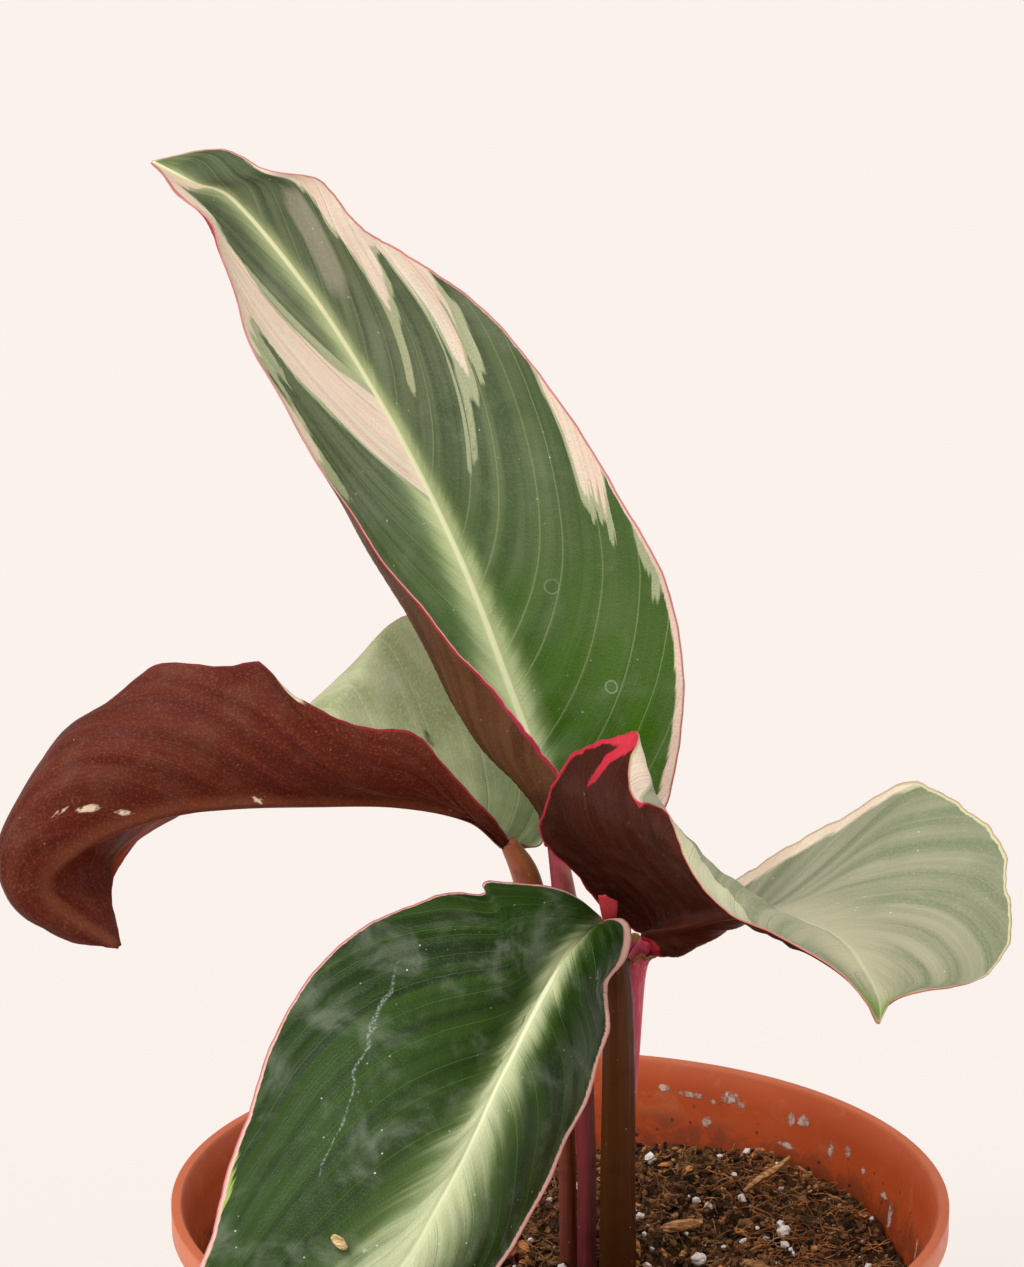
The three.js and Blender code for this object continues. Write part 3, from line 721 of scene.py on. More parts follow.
def make_blade(name, face, underside, rim):
    """A leaf's blade. Its attributes tell its materials where each point lies: how far
    along the side veins, from the midrib and margin, and inside each kind of patch."""
    blade = BLADES[name]
    length = blade["length"]
    bm, places = blade_sheet(length)
    drawn, t, upper = places[:, 0], places[:, 1], places[:, 2] > 0.5
    right, share = drawn >= 0, np.abs(drawn)
    margin = np.where(right, 1, -1)
    reach = margin - through(MIDRIB_PLACE[name], t)[:, 0]
    v = margin - reach * (1 - share)
    width = blade_surface(blade, t, np.where(right, 1.0, -1.0))[1] * np.abs(reach)
    wander = margin_wander(name, t, right)
    middle = blade_surface(blade, t, v * (1 + wander * share**6 / np.maximum(width, 3)))[0]
    a, b = (np.where(right, blade["veins"]["right"][k], blade["veins"]["left"][k]) for k in (0, 1))
    vein = t - a * share - b * share**2
    lift = blade_lift(name, t, share, width, vein, right, upper)
    place_verts(bm.verts, middle + blade_normals(blade, t, v) * lift[:, None])
    bm.normal_update()
    bmesh.ops.recalc_face_normals(bm, faces=bm.faces)
    piece = make_object(name.replace("blade", "leaf"), bm, [face, underside, rim])

    usual_width = PATCH_WIDTH * float(np.percentile(width, 75))
    depth = {
        zone: patch_depth(PATCHES[name].get(zone, {}), right, vein, share, length, usual_width)
        for zone in ("cream", "pale", "spot", "thin", "trail")
    }
    rib, edge = share * width, (1 - share) * width
    attributes = {
        "flow": (vein * length, rib, np.where(right, MAP_SHIFT, -MAP_SHIFT)),
        "zones": (depth["cream"], depth["pale"], rib / by_side(FEATHER[name], right, t)),
        "bands": (depth["trail"], edge, edge / by_side(BORDER[name], right, t)),
        "marks": (t, depth["spot"], depth["thin"]),
    }
    for key, values in attributes.items():
        layer = piece.data.attributes.new(key, "FLOAT_VECTOR", "POINT")
        layer.data.foreach_set("vector", np.stack(values, 1).astype(np.float32).ravel())
    belongs(piece, LEAF_SLOTS[name], name)


LEAF_SLOTS = {
    "blade_upright": "leaf_green_and_cream",
    "blade_left": "leaf_maroon_underside",
    "blade_right": "leaf_silver_green",
    "blade_front": "leaf_dark_green",
}
LEAF_ATTRIBUTES = {
    "flow": ("vein", "rib", "half"),
    "zones": ("cream", "pale", "feather"),
    "bands": ("trail", "edge", "border"),
    "marks": ("along", "spot", "thin"),
}


def leaf_maps(tree, look):
    """What both sides of a leaf are painted by: the leaf's own measures, and patterns
    that run along its side veins."""
    maps = {}
    for key, names in LEAF_ATTRIBUTES.items():
        maps[key] = add(tree, "Attribute", out=1, attribute_name=key)
        maps.update(zip(names, add(tree, "SeparateXYZ", [maps[key]]).node.outputs))
    place = add(tree, "TexCoord", out=3)
    maps["place"] = place

    # Streaks: how many a millimetre across the veins, and along them.
    for key, stretch in (("fine", (1.7, 0.10, 1)), ("broad", (*look["streaks"], 1))):
        stretched = add(tree, "VectorMath", [maps["flow"], stretch], **TIMES)
        maps[key] = add(tree, "TexNoise", {"Vector": stretched, "Scale": 1.0, "Detail": 2.5})

    # Strips between side veins, each with a value of its own, which end a colour patch
    # squarely and at different lengths: wide ones 1.7 mm across and narrow ones 0.6 mm.
    for key, width in (("finger", 1.7), ("thread", 0.6)):
        placed = add(tree, "Math", [maps["vein"], 1 / width, maps["half"]], **TIMES_PLUS)
        maps[key] = add(tree, "TexVoronoi", {"W": placed, "Scale": 1.0}, 1, **IN_LINE)
    fray = look["fray"]
    ends = (0.7 * fray - 0.12, 0.7 * fray + 0.12)
    torn = {}
    for key in ("cream", "pale"):
        torn[key] = add(tree, "Math", [maps["finger"], fray, maps[key]], **TIMES_PLUS)
        torn[key] = add(tree, "Math", [maps["thread"], 0.4 * fray, torn[key]], **TIMES_PLUS)
        maps[key + "_patch"] = add(tree, "MapRange", [torn[key], *ends], **SMOOTH)
    fringed = add(tree, "Math", [maps["broad"], look["fringe"], torn["cream"]], **TIMES_PLUS)
    maps["fringe"] = add(tree, "MapRange", [fringed, *ends], **SMOOTH)

    # Side veins: strong ones some 7 mm apart, and weak ones 1.4 mm apart between them.
    for key, spacing, line in (("main_vein", look["vein_gap"], 0.28), ("small_vein", 1.4, 0.16)):
        placed = add(tree, "Math", [maps["vein"], 1 / spacing, maps["half"]], **TIMES_PLUS)
        away = add(tree, "TexVoronoi", {"W": placed, "Scale": 1.0, "Randomness": 0.55}, **IN_LINE)
        maps[key] = add(tree, "MapRange", [away, line / spacing, 0.2 * line / spacing], **SMOOTH)
    maps["cloud"] = add(tree, "TexNoise", {"Vector": place, "Scale": 1 / (10 * MM), "Detail": 4.0})
    maps["grain"] = add(tree, "TexNoise", {"Vector": place, "Scale": 1 / (0.4 * MM), "Detail": 2.0})
    maps["off_rib"] = add(tree, "MapRange", [maps["rib"], 0.35, 1.1])
    return maps


def water_marks(tree, place, bloom_and_sheen, rings):
    """Masks of what dried water leaves on the wax: a dull film in clouds some 8 mm wide, which
    is partly a painted sheen, thin rings up to 1.3 mm in radius, and specks."""
    clouds = {"Vector": place, "Scale": 1 / (8 * MM), "Detail": 5.0, "Roughness": 0.58, "Distortion": 0.5}
    film = add(tree, "TexNoise", clouds)
    # mask of the film: dried water, partly a painted sheen
    film_and_sheen = add(tree, "MapRange", [film, 0.46, 0.78, 0, bloom_and_sheen], **SMOOTH)
    worn = add(tree, "MapRange", [film, 0.35, 0.6])
    droplet = add(tree, "TexVoronoi", {"Vector": place, "Scale": 1 / (9 * MM)})
    few, size = add(tree, "SeparateXYZ", [droplet.node.outputs[1]]).node.outputs[:2]
    radius = add(tree, "MapRange", [size, 0, 1, 0.05, 0.15])
    ring = add(tree, "Math", [droplet, radius], **MINUS)
    ring = add(tree, "Math", [ring], **UNSIGNED)
    ring = add(tree, "MapRange", [ring, 0.018, 0.004], **SMOOTH)
    few = add(tree, "MapRange", [few, 0.8, 0.84, 0, rings])
    for mask in (few, worn):
        ring = add(tree, "Math", [ring, mask], **TIMES)
    speck = add(tree, "TexVoronoi", {"Vector": place, "Scale": 1 / (2.6 * MM)})
    speck = add(tree, "MapRange", [speck, 0.07, 0.03], **SMOOTH)
    speck = add(tree, "Math", [speck, worn], **TIMES)
    return film, film_and_sheen, ring, speck


def face_tones(tree, maps, look):
    """Masks of the tones on a leaf's upper side, apart from its patches, and of the painted shade towards
    its margin.
    """
    soft = look["softness"]
    ranges = {
        "broad": ("broad", 0.5 - soft, 0.5 + soft),
        "young": ("along", look["young_reach"], 0.15),
        "dark": ("cloud", 0.5, 0.75, 0, 0.5),
        # painted shade: darker towards the margin, where the blade turns away from the light
        "outer": ("edge", 13.0, 1.0, 0, look["outer"][1]),
        "edge": ("edge", look["edge_width"], 0.1, 0, 0.85),
        "tip": ("along", look["tip_from"], 0.97, 0, 0.85),
    }
    masks = {key: add(tree, "MapRange", [maps[of], *run], **SMOOTH) for key, (of, *run) in ranges.items()}
    uneven = add(tree, "MapRange", [maps["cloud"], 0.3, 0.6, 0.6, 1])
    masks["young"] = add(tree, "Math", [masks["young"], uneven], **TIMES)
    # fine flecks of a lighter green: partly the tissue's own tone, partly painted glints of the cuticle's
    # fine relief
    masks["grain"] = add(tree, "MapRange", [maps["grain"], 0.45, 0.7, 0, 0.4])
    for key, show in zip(("main_vein", "small_vein"), look["vein_show"]):
        masks[key] = add(tree, "Math", [maps[key], show], **TIMES)
    bordered = add(tree, "Math", [maps["fine"], 0.8, maps["border"]], **TIMES_PLUS)
    masks["border"] = add(tree, "MapRange", [bordered, 1.55, 1.25], **SMOOTH)
    return masks


def face_midrib(tree, maps, look):
    """Masks of the midrib and of the feathered pale zone beside it, in two steps."""
    masks = {}
    rib_width = add(tree, "MapRange", [maps["along"], 0, 1, 0.46, 0.28])
    rib = add(tree, "Math", [maps["rib"], rib_width], operation="DIVIDE")
    rib = add(tree, "MapRange", [rib, 1.2, 0.5], **SMOOTH)
    clear = add(tree, "MapRange", [maps["along"], 0.35, 0.65, 0.95, look["rib_end"]])
    masks["rib"] = add(tree, "Math", [rib, clear], **TIMES)
    feathered = add(tree, "Math", [maps["fine"], 0.3, maps["feather"]], **TIMES_PLUS)
    feathered = add(tree, "Math", [maps["broad"], 0.9, feathered], **TIMES_PLUS)
    fades = add(tree, "MapRange", [maps["along"], 0.5, 0.75, 1.0, look["halo_end"]])
    for key, far, near, most in (("halo_out", 1.95, 0.7, 0.85), ("halo_in", 1.5, 0.6, 0.9)):
        halo = add(tree, "MapRange", [feathered, far, near, 0, most], **SMOOTH)
        masks[key] = add(tree, "Math", [halo, fades], **TIMES)
    return masks


def face_marks(tree, maps, look):
    """Masks of dead spots, and of the line of drops that a runnel left as it dried."""
    least, most, outside, inside = look["spot"][1:]
    spotted = add(tree, "MapRange", [maps["spot"], outside, inside], **SMOOTH)
    beaded = add(tree, "MapRange", [maps["grain"], 0.48, 0.56, least, most])
    spotted = add(tree, "Math", [spotted, beaded], **TIMES)
    off_trail = add(tree, "Math", [maps["cloud"], 2.4, maps["trail"]], **TIMES_PLUS)
    off_trail = add(tree, "Math", [off_trail, 1.2], **MINUS)
    off_trail = add(tree, "Math", [off_trail], **UNSIGNED)
    trail = add(tree, "MapRange", [off_trail, 0.12, 0.04], **SMOOTH)
    drops = add(tree, "MapRange", [maps["grain"], 0.45, 0.62, 0.04, 0.42])
    from_middle = add(tree, "Math", [maps["along"], 0.51], **MINUS)
    from_middle = add(tree, "Math", [from_middle], **UNSIGNED)
    on_trail = add(tree, "MapRange", [from_middle, 0.115, 0.085])
    for mask in (drops, on_trail):
        trail = add(tree, "Math", [trail, mask], **TIMES)
    return {"spot": spotted, "trail": trail}


def leaf_face(name, look):
    """Upper side of a leaf: a living cuticle over green tissue. Its wax gives a soft
    sheen, and the tissue without chlorophyll shows cream or pink between the veins."""
    material, tree, shader = surface_of(name, ior=TISSUE_IOR, specular_ior_level=look["specular"])
    maps = leaf_maps(tree, look)
    masks = {}
    for part in (face_tones, face_midrib, face_marks):
        masks.update(part(tree, maps, look))
    film, film_and_sheen, ring, speck = water_marks(tree, maps["place"], *look["water"])
    cream = paint(tree, srgb(look["cream"][0]), [
        (masks["broad"], look["cream"][1]),
        (add(tree, "Math", [maps["small_vein"], 0.4], **TIMES), look["cream"][2]),
    ])
    colour = paint(tree, srgb(look["green"][0]), [
        (masks["broad"], look["green"][1]),
        (masks["dark"], look["green"][2]),
        (masks["grain"], look["green"][1]),
        # painted shade towards the margin
        (masks["outer"], look["outer"][0]),
        (masks["young"], look["young"]),
        (masks["small_vein"], look["vein"]),
        (masks["main_vein"], look["vein"]),
        (masks["halo_out"], look["halo"][0]),
        (masks["halo_in"], look["halo"][1]),
        (masks["tip"], look["tip"]),
        (maps["pale_patch"], look["pale"]),
        (maps["fringe"], look["pale"]),
        (maps["cream_patch"], cream),
        (masks["border"], look["border"][0]),
        (masks["rib"], look["rib"]),
        (masks["edge"], look["border"][1]),
        (masks["spot"], look["spot"][0]),
        (masks["trail"], "#b4c4bc"),
        # dried water film, partly a painted sheen on the wax
        (film_and_sheen, "#a7ad9a"),
        (ring, "#c9cfc2"),
        (speck, "#cdd3c6"),
    ])
    roughness = add(tree, "MapRange", [film, 0.3, 0.7, *look["gloss"]])
    relief = maps["grain"]
    for key, high in (("main_vein", -0.6), ("small_vein", -0.25), ("fine", 0.45), ("broad", 0.9)):
        relief = add(tree, "Math", [maps[key], high, relief], **TIMES_PLUS)
    relief = add(tree, "Math", [relief, maps["off_rib"]], **TIMES)
    finish_surface(tree, shader, colour, roughness, relief, 0.09)
    return material


def leaf_underside(name, look):
    """Underside of a leaf: the same cuticle over wine-red tissue, more matt than the
    face. Where the upper side has no green, the red shows bright crimson."""
    material, tree, shader = surface_of(name, ior=TISSUE_IOR, specular_ior_level=0.14)
    maps = leaf_maps(tree, look)
    ranges = {
        "broad": ("broad", 0.35, 0.65),
        "smoke": ("cloud", 0.5, 0.72, 0, 0.45),
        "rib": ("rib", 1.8, 0.2, 0, look["rib_show"]),
        "edge": ("edge", 0.45, 0.2),
        # painted glow of light coming through thin tissue
        "thin": ("thin", -1.0, 3.5, 0, 0.8),
    }
    masks = {key: add(tree, "MapRange", [maps[of], *run], **SMOOTH) for key, (of, *run) in ranges.items()}
    # fine flecks of the vein colour: partly the tissue's own tone, partly a painted velvet sheen
    masks["grain"] = add(tree, "MapRange", [maps["grain"], 0.5, 0.75, 0, 0.35])
    faint = add(tree, "MapRange", [maps["fine"], 0.3, 0.7, 0, look["line_show"]])
    masks["line"] = add(tree, "Math", [maps["main_vein"], faint], **TIMES)
    until = look["edge_until"]
    fades = add(tree, "MapRange", [maps["along"], until, until + 0.3, look["edge_show"], 0.2])
    masks["edge"] = add(tree, "Math", [masks["edge"], fades], **TIMES)
    film_and_sheen, ring, speck = water_marks(tree, maps["place"], 0.14, 0.15)[1:]
    colour = paint(tree, srgb(look["maroon"][0]), [
        (masks["broad"], look["maroon"][1]),
        (masks["smoke"], look["maroon"][2]),
        (masks["grain"], look["line"]),
        (masks["line"], look["line"]),
        (masks["rib"], look["line"]),
        (masks["thin"], look["thin"]),
        (maps["cream_patch"], look["crimson"]),
        (maps["pale_patch"], look["scar"]),
        (masks["edge"], look["edge"]),
        (film_and_sheen, "#86624c"),
        (ring, "#8f6f60"),
        (speck, "#9a7a68"),
    ])
    roughness = add(tree, "MapRange", [maps["cloud"], 0.3, 0.7, 0.46, 0.64])
    relief = add(tree, "Math", [maps["main_vein"], 0.8, maps["grain"]], **TIMES_PLUS)
    relief = add(tree, "Math", [maps["fine"], 1.0, relief], **TIMES_PLUS)
    relief = add(tree, "Math", [relief, maps["off_rib"]], **TIMES)
    finish_surface(tree, shader, colour, roughness, relief, 0.10)
    return material


def leaf_rim(name, tones):
    """The thin margin of a leaf: pink tissue, slightly matt, paler where it is dry."""
    material, tree, shader = surface_of(name, ior=TISSUE_IOR)
    place = add(tree, "TexCoord", out=3)
    cloud = add(tree, "TexNoise", {"Vector": place, "Scale": 1 / (4 * MM), "Detail": 3.0})
    tree.links.new(paint(tree, srgb(tones[0]), [(cloud, tones[1])]), shader.inputs["Base Color"])
    tree.links.new(add(tree, "MapRange", [cloud, 0, 1, 0.4, 0.65]), shader.inputs["Roughness"])
    return material


# The look of each leaf's upper side. Of three greens or creams the first is the usual
# tone; young is the tissue near the base, then the painted shade towards the margin, which
# stands for the blade turning away from the light, and how much of it shows, and border the
# pale band and the line along the margin. A spot gives its colour, how much of it shows at
# least and at most, and how deep inside it starts and ends.
FACES = {
    "blade_upright": dict(
        green=("#4f5c43", "#727c5b", "#3c4b33"), outer=("#3a4a24", 0.5), young="#3f6803",
        young_reach=0.55, tip="#7d8a58", tip_from=0.93, softness=0.17, edge_width=0.36,
        vein="#9aa870", vein_gap=7.5, vein_show=(0.45, 0.05),
        halo=("#9db075", "#d0d8a2"), halo_end=0.5, rib="#f0efc2", rib_end=0.9,
        cream=("#ecdfca", "#f0d3bd", "#e4b89e"), pale="#aeb38c", fringe=1.0,
        border=("#efcfbe", "#c4585f"), spot=("#aaa38c", 0.6, 0.68, -0.8, 0.5),
        specular=0.3, gloss=(0.34, 0.5), water=(0.16, 0.35), streaks=(0.30, 0.035), fray=0.9,
    ),
    # Its pale greens are partly painted light: the sheen and brightness of a face turned up towards the
    # light, over the tissue's own green.
    "blade_left": dict(
        green=("#929a6c", "#bcbd96", "#6f7c50"), outer=("#6f7c50", 0.2), young="#5a7034",
        young_reach=0.32, tip="#7a8050", tip_from=0.93, softness=0.14, edge_width=0.36,
        vein="#c2c49c", vein_gap=6.5, vein_show=(0.3, 0.05),
        halo=("#aaad82", "#bcbd98"), halo_end=1.0, rib="#cccea2", rib_end=0.6,
        cream=("#f3e6cc", "#f0dcc4", "#e9c8ac"), pale="#a3a884", fringe=0.6,
        border=("#b9bd92", "#a33a44"), spot=("#3a2a1c", 0.8, 0.9, -0.25, 0.1),
        specular=0.3, gloss=(0.44, 0.58), water=(0.3, 0.1), streaks=(0.16, 0.06), fray=0.8,
    ),
    # Its grey, silvery greens are partly painted sheen of light grazing the face, over the tissue's own
    # green, and the saturated green at its tip is where that painted sheen ends.
    "blade_right": dict(
        green=("#6e7656", "#98947a", "#667050"), outer=("#667050", 0.2), young="#646c4c",
        young_reach=0.32, tip="#6a8a2c", tip_from=0.87, softness=0.18, edge_width=0.36,
        vein="#a9a78b", vein_gap=9, vein_show=(0.08, 0.02),
        halo=("#969274", "#a29d80"), halo_end=1.0, rib="#b4b894", rib_end=0.5,
        cream=("#e2cfb9", "#dfc4ae", "#d2b296"), pale="#aeac8e", fringe=0.7,
        border=("#b8bb90", "#b8806c"), spot=("#8a7a50", 0.0, 0.5, -0.8, 0.5),
        specular=0.3, gloss=(0.44, 0.6), water=(0.1, 0.05), streaks=(0.36, 0.022), fray=0.35,
    ),
    "blade_front": dict(
        green=("#122204", "#2a420c", "#0d1c04"), outer=("#203608", 0.3), young="#223c0a",
        young_reach=0.3, tip="#3c5a22", tip_from=0.93, softness=0.22, edge_width=0.5,
        vein="#4c6c34", vein_gap=9.5, vein_show=(0.45, 0.02),
        halo=("#6b8046", "#c6cb9f"), halo_end=1.0, rib="#e3e6bc", rib_end=0.35,
        cream=("#ecdcc6", "#e6cab8", "#d8b0a0"), pale="#8fa04c", fringe=0.5,
        border=("#dcac9e", "#b4545e"), spot=("#a9bcb4", 0.0, 0.75, -0.3, 0.1),
        specular=0.2, gloss=(0.36, 0.5), water=(0.24, 0.3), streaks=(0.16, 0.02), fray=0.8,
    ),
}
# And of each underside: crimson shows where the face is cream, scar where it is pale, and
# thin the painted glow where light comes through.
UNDERSIDES = {
    "blade_upright": dict(
        maroon=("#55331d", "#674228", "#452817"), line="#805038", line_show=0.5, rib_show=0.4,
        crimson="#b32e3f", edge="#b3304a", edge_show=0.9, edge_until=0.4, thin="#a5451c",
        scar="#4a2110", vein_gap=6, streaks=(0.25, 0.03), fray=0.8, fringe=0.0,
    ),
    "blade_left": dict(
        maroon=("#4c1407", "#571b0b", "#431509"), line="#8a5034", line_show=0.25, rib_show=0.26,
        crimson="#d8cfae", edge="#9c2434", edge_show=0.85, edge_until=0.1, thin="#c04a1a",
        scar="#d8c0a4", vein_gap=7, streaks=(0.22, 0.02), fray=0.5, fringe=0.0,
    ),
    "blade_right": dict(
        maroon=("#331006", "#45180b", "#280c06"), line="#5e2c18", line_show=0.4, rib_show=0.3,
        crimson="#c02a3c", edge="#b0283a", edge_show=0.9, edge_until=0.4, thin="#a5451c",
        scar="#4a1c10", vein_gap=6, streaks=(0.25, 0.03), fray=0.35, fringe=0.0,
    ),
    "blade_front": dict(
        maroon=("#4a2110", "#5c2c18", "#3a180d"), line="#7a4630", line_show=0.5, rib_show=0.4,
        crimson="#b32e3f", edge="#b5646c", edge_show=1.0, edge_until=0.4, thin="#a5451c",
        scar="#5c2c18", vein_gap=7, streaks=(0.2, 0.03), fray=0.8, fringe=0.0,
    ),
}
RIMS = {
    "blade_upright": ("#c0666a", "#dba095"),
    "blade_left": ("#5c2420", "#8c2a2e"),
    "blade_right": ("#b03a44", "#b9806a"),
    "blade_front": ("#b25a62", "#d29a90"),
}
for blade_name in BLADES:
    short = blade_name.replace("blade_", "")
    make_blade(
        blade_name,
        leaf_face(f"waxy_cuticle_face_{short}", FACES[blade_name]),
        leaf_underside(f"wine_red_cuticle_underside_{short}", UNDERSIDES[blade_name]),
        leaf_rim(f"thin_margin_{short}", RIMS[blade_name]),
    )


# ---- stalks, sheath and shoot -----------------------------------------------------


def add_rod(bm, points, radii, sides, steps, ridges=0.0):
    """A closed rod along a curve. Its faces carry a map: once round, and base to tip."""
    map_layer = bm.loops.layers.uv.verify()
    verts = bmesh.ops.create_grid(bm, x_segments=sides, y_segments=steps, size=0.5)["verts"]
    corners = np.array([vert.co.xy for vert in verts]) + 0.5
    for face in {face for vert in verts for face in vert.link_faces}:
        for loop in face.loops:
            loop[map_layer].uv = loop.vert.co.xy + Vector((0.5, 0.5))
    t, turn = corners[:, 1], corners[:, 0] * FULL_TURN
    centre = through(points, t)
    ahead = unit(through(points, t + 0.01) - through(points, t - 0.01))
    front = np.where(np.abs(ahead[:, 1:2]) < 0.9, [[0.0, -1.0, 0.0]], [[1.0, 0.0, 0.0]])
    front = unit(front - ahead * (front * ahead).sum(1)[:, None])
    side = np.cross(front, ahead)
    radius = through(radii, t)[:, 0] * (1 + ridges * np.cos(7 * turn) * np.sin(3 * turn + 1))
    out = front * np.cos(turn)[:, None] + side * np.sin(turn)[:, None]
    place_verts(verts, centre + out * radius[:, None])
    bmesh.ops.remove_doubles(bm, verts=verts, dist=1e-5)
    kept = [vert for vert in verts if vert.is_valid]
    open_edges = {edge for vert in kept for edge in vert.link_edges if edge.is_boundary}
    bmesh.ops.holes_fill(bm, edges=list(open_edges), sides=sides + 2)


def stalk_skin(name, around, low):
    """Leaf stalk: smooth, ribbed living tissue with a thin wax, so it has a soft gloss.
    Its colour changes round the stalk and darkens towards the mix."""
    material, tree, shader = surface_of(name, ior=TISSUE_IOR, specular_ior_level=0.22)
    turn, along = add(tree, "SeparateXYZ", [add(tree, "TexCoord", out=2)]).node.outputs[:2]
    place = add(tree, "TexCoord", out=3)
    ramp = add(tree, "ValToRGB", [turn]).node
    stops = ramp.color_ramp.elements
    stops[0].position, stops[0].color = around[0][0], srgb(around[0][1])
    stops[1].position, stops[1].color = around[-1][0], srgb(around[-1][1])
    for position, code in around[1:-1]:
        stops.new(position).color = srgb(code)
    # Fibre bundles 0.45 mm apart run the length of the stalk.
    stretched = add(tree, "VectorMath", [place, (1, 1, 0.06)], **TIMES)
    fibre = add(tree, "TexNoise", {"Vector": stretched, "Scale": 1 / (0.45 * MM), "Detail": 2.0})
    cloud = add(tree, "TexNoise", {"Vector": place, "Scale": 1 / (4 * MM), "Detail": 4.0})
    dot = add(tree, "TexVoronoi", {"Vector": place, "Scale": 1 / (2.2 * MM)})
    sunk = add(tree, "MapRange", [along, 0.46, 0.2, 0, 0.7], **SMOOTH)
    line = add(tree, "MapRange", [fibre, 0.5, 0.72, 0, 0.35])
    blotch = add(tree, "MapRange", [cloud, 0.5, 0.75, 0, 0.45], **SMOOTH)
    dotted = add(tree, "MapRange", [dot, 0.09, 0.04, 0, 0.5], **SMOOTH)
    colour = paint(tree, ramp.outputs[0], [
        (sunk, low),
        (line, around[0][1]),
        (blotch, low),
        (dotted, "#b09a84"),
    ])
    rough = add(tree, "MapRange", [cloud, 0.3, 0.7, 0.36, 0.56])
    finish_surface(tree, shader, colour, rough, fibre, 0.12)
    return material


# The finish of each stalk, its colour near the mix, and the colours round it.
STALK_FINISHES = {
    "petiole_front": ("stalk_brown", "#3e2008", (
        (0, "#5e3511"), (0.12, "#683e15"), (0.3, "#4f2a0a"), (0.62, "#2d1105"), (0.8, "#421d08"),
        (1, "#5e3511"),
    )),
    "petiole_upright": ("stalk_crimson", "#5a2622", (
        (0, "#a44a50"), (0.2, "#963c42"), (0.6, "#702424"), (0.85, "#b07068"), (1, "#a44a50"),
    )),
    "petiole_left": ("stalk_pink", "#5a2622", (
        (0, "#9c5636"), (0.22, "#bd7466"), (0.5, "#984a3c"), (0.8, "#7e5222"), (1, "#9c5636"),
    )),
    "petiole_right": ("stalk_crimson", "#5a2622", (
        (0, "#c8405c"), (0.3, "#c24a60"), (0.6, "#983040"), (1, "#c8405c"),
    )),
}


def make_stalk(name):
    slot, low, around = STALK_FINISHES[name]
    bm = bmesh.new()
    add_rod(bm, STALKS[name]["points"], STALKS[name]["radii"], STALK_SIDES, STALK_STEPS, ridges=0.03)
    bmesh.ops.recalc_face_normals(bm, faces=bm.faces)
    skin = stalk_skin(f"ribbed_stalk_{name}", around, low)
    belongs(make_object(name.replace("petiole", "stalk"), bm, [skin]), slot, name)


def sheath_skin(name, crimson, bloom_and_sheen, shade):
    """Leaf sheath: thin, dry-edged tissue, crimson with a lilac wax haze along its fibres that is
    partly a painted highlight where light grazes it, and papery brown along the torn collar."""
    material, tree, shader = surface_of(name, ior=TISSUE_IOR, specular_ior_level=0.35)
    marks = add(tree, "Attribute", out=1, attribute_name="sheath")
    up, turn = add(tree, "SeparateXYZ", [marks]).node.outputs[:2]
    place = add(tree, "TexCoord", out=3)
    stretched = add(tree, "VectorMath", [place, (1, 1, 0.08)], **TIMES)
    fibre = add(tree, "TexNoise", {"Vector": stretched, "Scale": 1 / (0.5 * MM), "Detail": 3.0})
    cloud = add(tree, "TexNoise", {"Vector": place, "Scale": 1 / (3 * MM), "Detail": 4.0})
    # painted highlight: lilac along the fibres, over a wax haze
    lilac = add(tree, "MapRange", [fibre, 0.45, 0.7, 0, 0.6])
    dry = add(tree, "Math", [cloud, 0.10, up], **TIMES_PLUS)
    dry = add(tree, "MapRange", [dry, 0.99, 1.03], **SMOOTH)
    deep = add(tree, "MapRange", [turn, 0.05, 0.8, 0, 0.6], **SMOOTH)
    colour = paint(tree, srgb(crimson), [(lilac, bloom_and_sheen), (deep, shade), (dry, "#8a6038")])
    rough = add(tree, "MapRange", [cloud, 0.3, 0.7, 0.4, 0.6])
    finish_surface(tree, shader, colour, rough, fibre, 0.15)
    return material


def mark_sheath(bm, up, turn):
    """Keeps on each vertex how far up and how far round the sheath it is."""
    marks = bm.verts.layers.float_vector["sheath"]
    for vert, height, across in zip(bm.verts, up, turn):
        vert[marks] = (height, across, 0)


def make_sheath():
    """An open wrap round the right leaf's stalk: it narrows to a point at its foot and
    ends above in a torn, flared collar."""
    carried = STALKS["petiole_right"]
    facing = math.radians(SHEATH_FACING)
    bm = bmesh.new()
    bmesh.ops.create_grid(bm, x_segments=48, y_segments=90, size=1)
    bm.verts.layers.float_vector.new("sheath")
    corners = np.array([vert.co.xy for vert in bm.verts])
    turn, up = corners[:, 0], (corners[:, 1] + 1) / 2
    torn = 0.016 * np.sin(5 * turn + 1) + 0.012 * np.sin(13 * turn) + 0.010 * np.sin(29 * turn) + 0.03 * turn
    share = SHEATH_START + (SHEATH_END + torn * up**4 - SHEATH_START) * up
    wrap = math.radians(SHEATH_WRAP) * np.clip(up / 0.6, 0.03, 1) ** 0.7
    angle = facing + turn * wrap
    pleat = 0.10 * np.sin(9 * turn + 2) * np.sin(math.pi * up)
    flare = SHEATH_FLARE * up**14 * (1 + 0.3 * np.sin(4 * turn))
    radius = through(carried["radii"], share)[:, 0] + SHEATH_CLEARANCE + pleat + flare
    loose = SHEATH_SLACK * np.sin(math.pi * np.clip(up * 1.02, 0, 1)) ** 0.5
    centre = through(carried["points"], share) + np.array(SHEATH_LEAN) * up[:, None] ** 3
    centre[:, 2] -= SHEATH_TILT * np.cos(angle) * up**8
    out = np.stack([np.cos(angle), np.sin(angle), 0 * angle], 1)
    away = np.array([math.cos(facing), math.sin(facing), 0])
    place_verts(bm.verts, centre + out * radius[:, None] + away * loose[:, None])
    mark_sheath(bm, up, turn)
    thickened(bm, SHEATH_THICKNESS)
    skin = sheath_skin("papery_crimson_sheath", "#cc5064", "#da8a94", "#983648")
    belongs(make_object("crimson_sheath", bm, [skin]), "sheath_crimson", "sheath_right")


